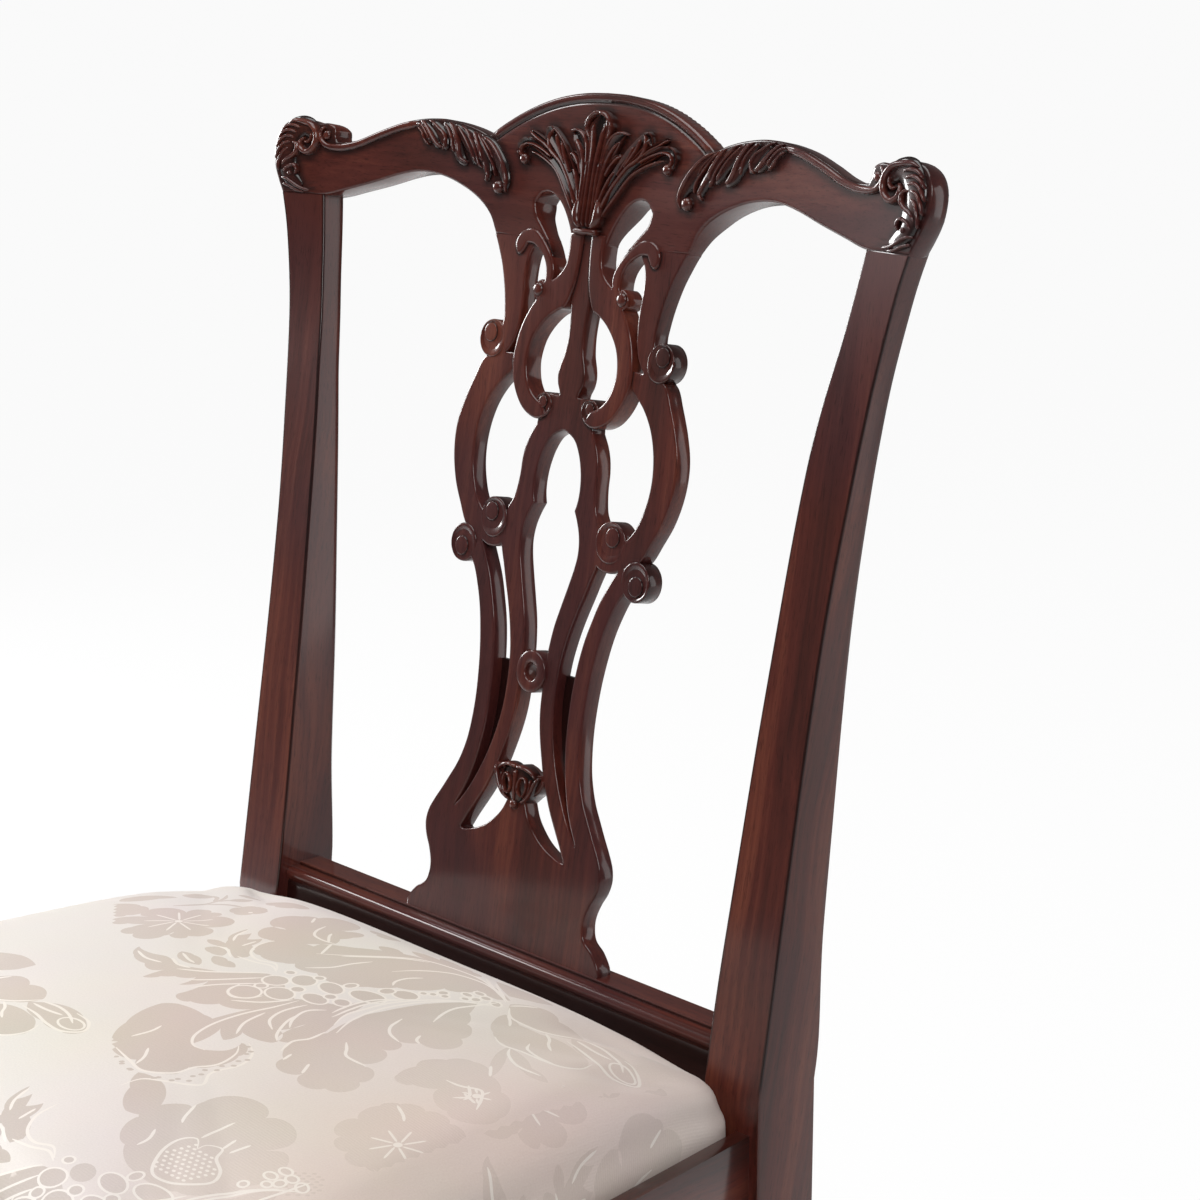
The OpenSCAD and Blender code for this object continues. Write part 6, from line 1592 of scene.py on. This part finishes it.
clothSheet("hessianSheet", inset=4, z=440.6, sag=0.0, material=hessian, node="seat_hessian")
clothSheet("dustCover", inset=20, z=417.6, sag=0.6, material=cambric, node="dust_cover")
tack = {"inset": 26.0, "z": 417.2, "headRadius": 3.0, "perSide": 7}


# Tacks round the dust cover: flattened round heads at evenly spaced points, each turned a little
def tackTree(material):
    tree = bpy.data.node_groups.new("tackRow", "GeometryNodeTree")
    tree.interface.new_socket("Geometry", in_out="INPUT", socket_type="NodeSocketGeometry")
    radius = tree.interface.new_socket("headRadius", in_out="INPUT", socket_type="NodeSocketFloat")
    tree.interface.new_socket("Geometry", in_out="OUTPUT", socket_type="NodeSocketGeometry")
    given = addNode(tree, "NodeGroupInput")
    head = addNode(tree, "GeometryNodeMeshUVSphere",
                   inputs={"Segments": 20, "Rings": 10, "Radius": given.outputs[1]})
    flatHead = addNode(tree, "GeometryNodeTransform", inputs={0: head.outputs[0], "Scale": (1, 1, 0.25)})
    turn = addNode(tree, "FunctionNodeRandomValue", {"data_type": "FLOAT_VECTOR"},
                   {0: (-0.06, -0.06, 0), 1: (0.06, 0.06, 3), "Seed": 4})
    placed = addNode(tree, "GeometryNodeInstanceOnPoints",
                     inputs={0: given.outputs[0], 2: flatHead.outputs[0], "Rotation": turn.outputs[0]})
    real = addNode(tree, "GeometryNodeRealizeInstances", inputs={0: placed.outputs[0]})
    painted = addNode(tree, "GeometryNodeSetMaterial", inputs={0: real.outputs[0], "Material": material})
    addNode(tree, "NodeGroupOutput", inputs={0: painted.outputs[0]})
    return tree, radius.identifier


def tackRow():
    inset, n = tack["inset"], tack["perSide"]
    rearX, frontX = frameX(rearFrameY, inset), frameX(frontFrameY, inset)
    corners = np.array([(rearX, rearFrameY - inset), (-rearX, rearFrameY - inset),
                        (-frontX, frontFrameY + inset), (frontX, frontFrameY + inset)])
    points = [a + (b - a) * k / n for a, b in zip(corners, np.roll(corners, -1, 0)) for k in range(n)]
    row = workObject("dustCoverTacks", [(x, y, tack["z"]) for x, y in points])
    modifier = row.modifiers.new("tacks", "NODES")
    modifier.node_group, key = tackTree(bluedSteel)
    modifier[key] = tack["headRadius"] / 1000
    row.data = bpy.data.meshes.new_from_object(evaluated(row))
    row.modifiers.clear()
    row.data.polygons.foreach_set("use_smooth", [True] * len(row.data.polygons))
    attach(row, "drop_in_seat")
    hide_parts("dust_cover_tacks")


tackRow()
for member in ("front", "back", "left", "right"):
    softCopy("seat_frame_" + member, "seatFrame" + member.capitalize(), beech, 0.001, "drop_in_seat")
# hidden fixings, glides and pegs keep their plain shapes
shownSolids = {"crest_dowels": beech, "seat_frame_dowels": beech, "shoe_screws": steel,
               "ledger_screws": steel, "block_screws": steel, "floor_glides": steel, "rail_pegs": pegWood}
for node, material in shownSolids.items():
    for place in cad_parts[node].material_slots:
        place.material = material
print("seat made")

# Camera and light
camera = linked("camera", bpy.data.cameras.new("camera"))
camera.location = (1.2209, -0.86672, 1.0769)
camera.rotation_euler = (math.radians(76.63), 0, math.radians(47.3))
camera.data.lens, camera.data.sensor_width = 80.34, 36.0
scene.camera = camera

studio = {"key": ((2.2, -1.6, 2.6), (1.4, 1.4), 44.0), "top": ((-0.3, -0.4, 3.0), (1.8, 1.8), 39.0),
          "left": ((-2.9, 0.0, 1.3), (1.4, 0.8), 84.0), "right": ((2.05, 2.25, 1.0), (1.2, 2.0), 12.0),
          "strip": ((-2.3, -0.2, 2.5), (0.7, 0.5), 12.0)}
for name, (place, size, power) in studio.items():
    light = linked(name, bpy.data.lights.new(name, "AREA"))
    light.data.shape, light.data.energy = "RECTANGLE", power
    light.data.size, light.data.size_y = size
    light.location = place
    light.rotation_euler = (Vector(place) - Vector((0, 0, 0.55))).to_track_quat("Z", "Y").to_euler()

world = bpy.data.worlds.new("studio")
scene.world = world
world.use_nodes = True
tree = world.node_tree
tree.nodes.clear()
path = addNode(tree, "ShaderNodeLightPath").outputs
seen = mathOf(tree, "MAXIMUM", path["Is Camera Ray"], path["Is Transmission Ray"])
sky = addNode(tree, "ShaderNodeBackground", inputs={0: (1, 1, 1, 1), 1: rangeOf(tree, seen, 0.12, 1.0)})
addNode(tree, "ShaderNodeOutputWorld", inputs={0: sky.outputs[0]})

# Painted studio floor, matt white: it shows white to the camera and keeps a soft shadow
floorPaint, tree = newMaterial("floorMattWhite")
path = addNode(tree, "ShaderNodeLightPath").outputs
speckle = addNode(tree, "ShaderNodeTexNoise", inputs={"Scale": 3.0, "Detail": 2.0}).outputs[0]
matt = addNode(tree, "ShaderNodeBsdfDiffuse", inputs={0: rangeOf(tree, speckle, 0.84, 0.88)}).outputs[0]
glow = addNode(tree, "ShaderNodeEmission", inputs={0: (1, 1, 1, 1), 1: 1.0}).outputs[0]
shareSeen = mathOf(tree, "MULTIPLY", path["Is Camera Ray"], 0.95)
blend = addNode(tree, "ShaderNodeMixShader", inputs={0: shareSeen, 1: matt, 2: glow})
addNode(tree, "ShaderNodeOutputMaterial", inputs={0: blend.outputs[0]})
reach = 90000
corners = [(-reach, -reach, 0), (reach, -reach, 0), (reach, reach, 0), (-reach, reach, 0)]
floor = workObject("floor", corners, [(0, 1, 2, 3)])
floor.data.materials.append(floorPaint)
print("camera, light and floor set")
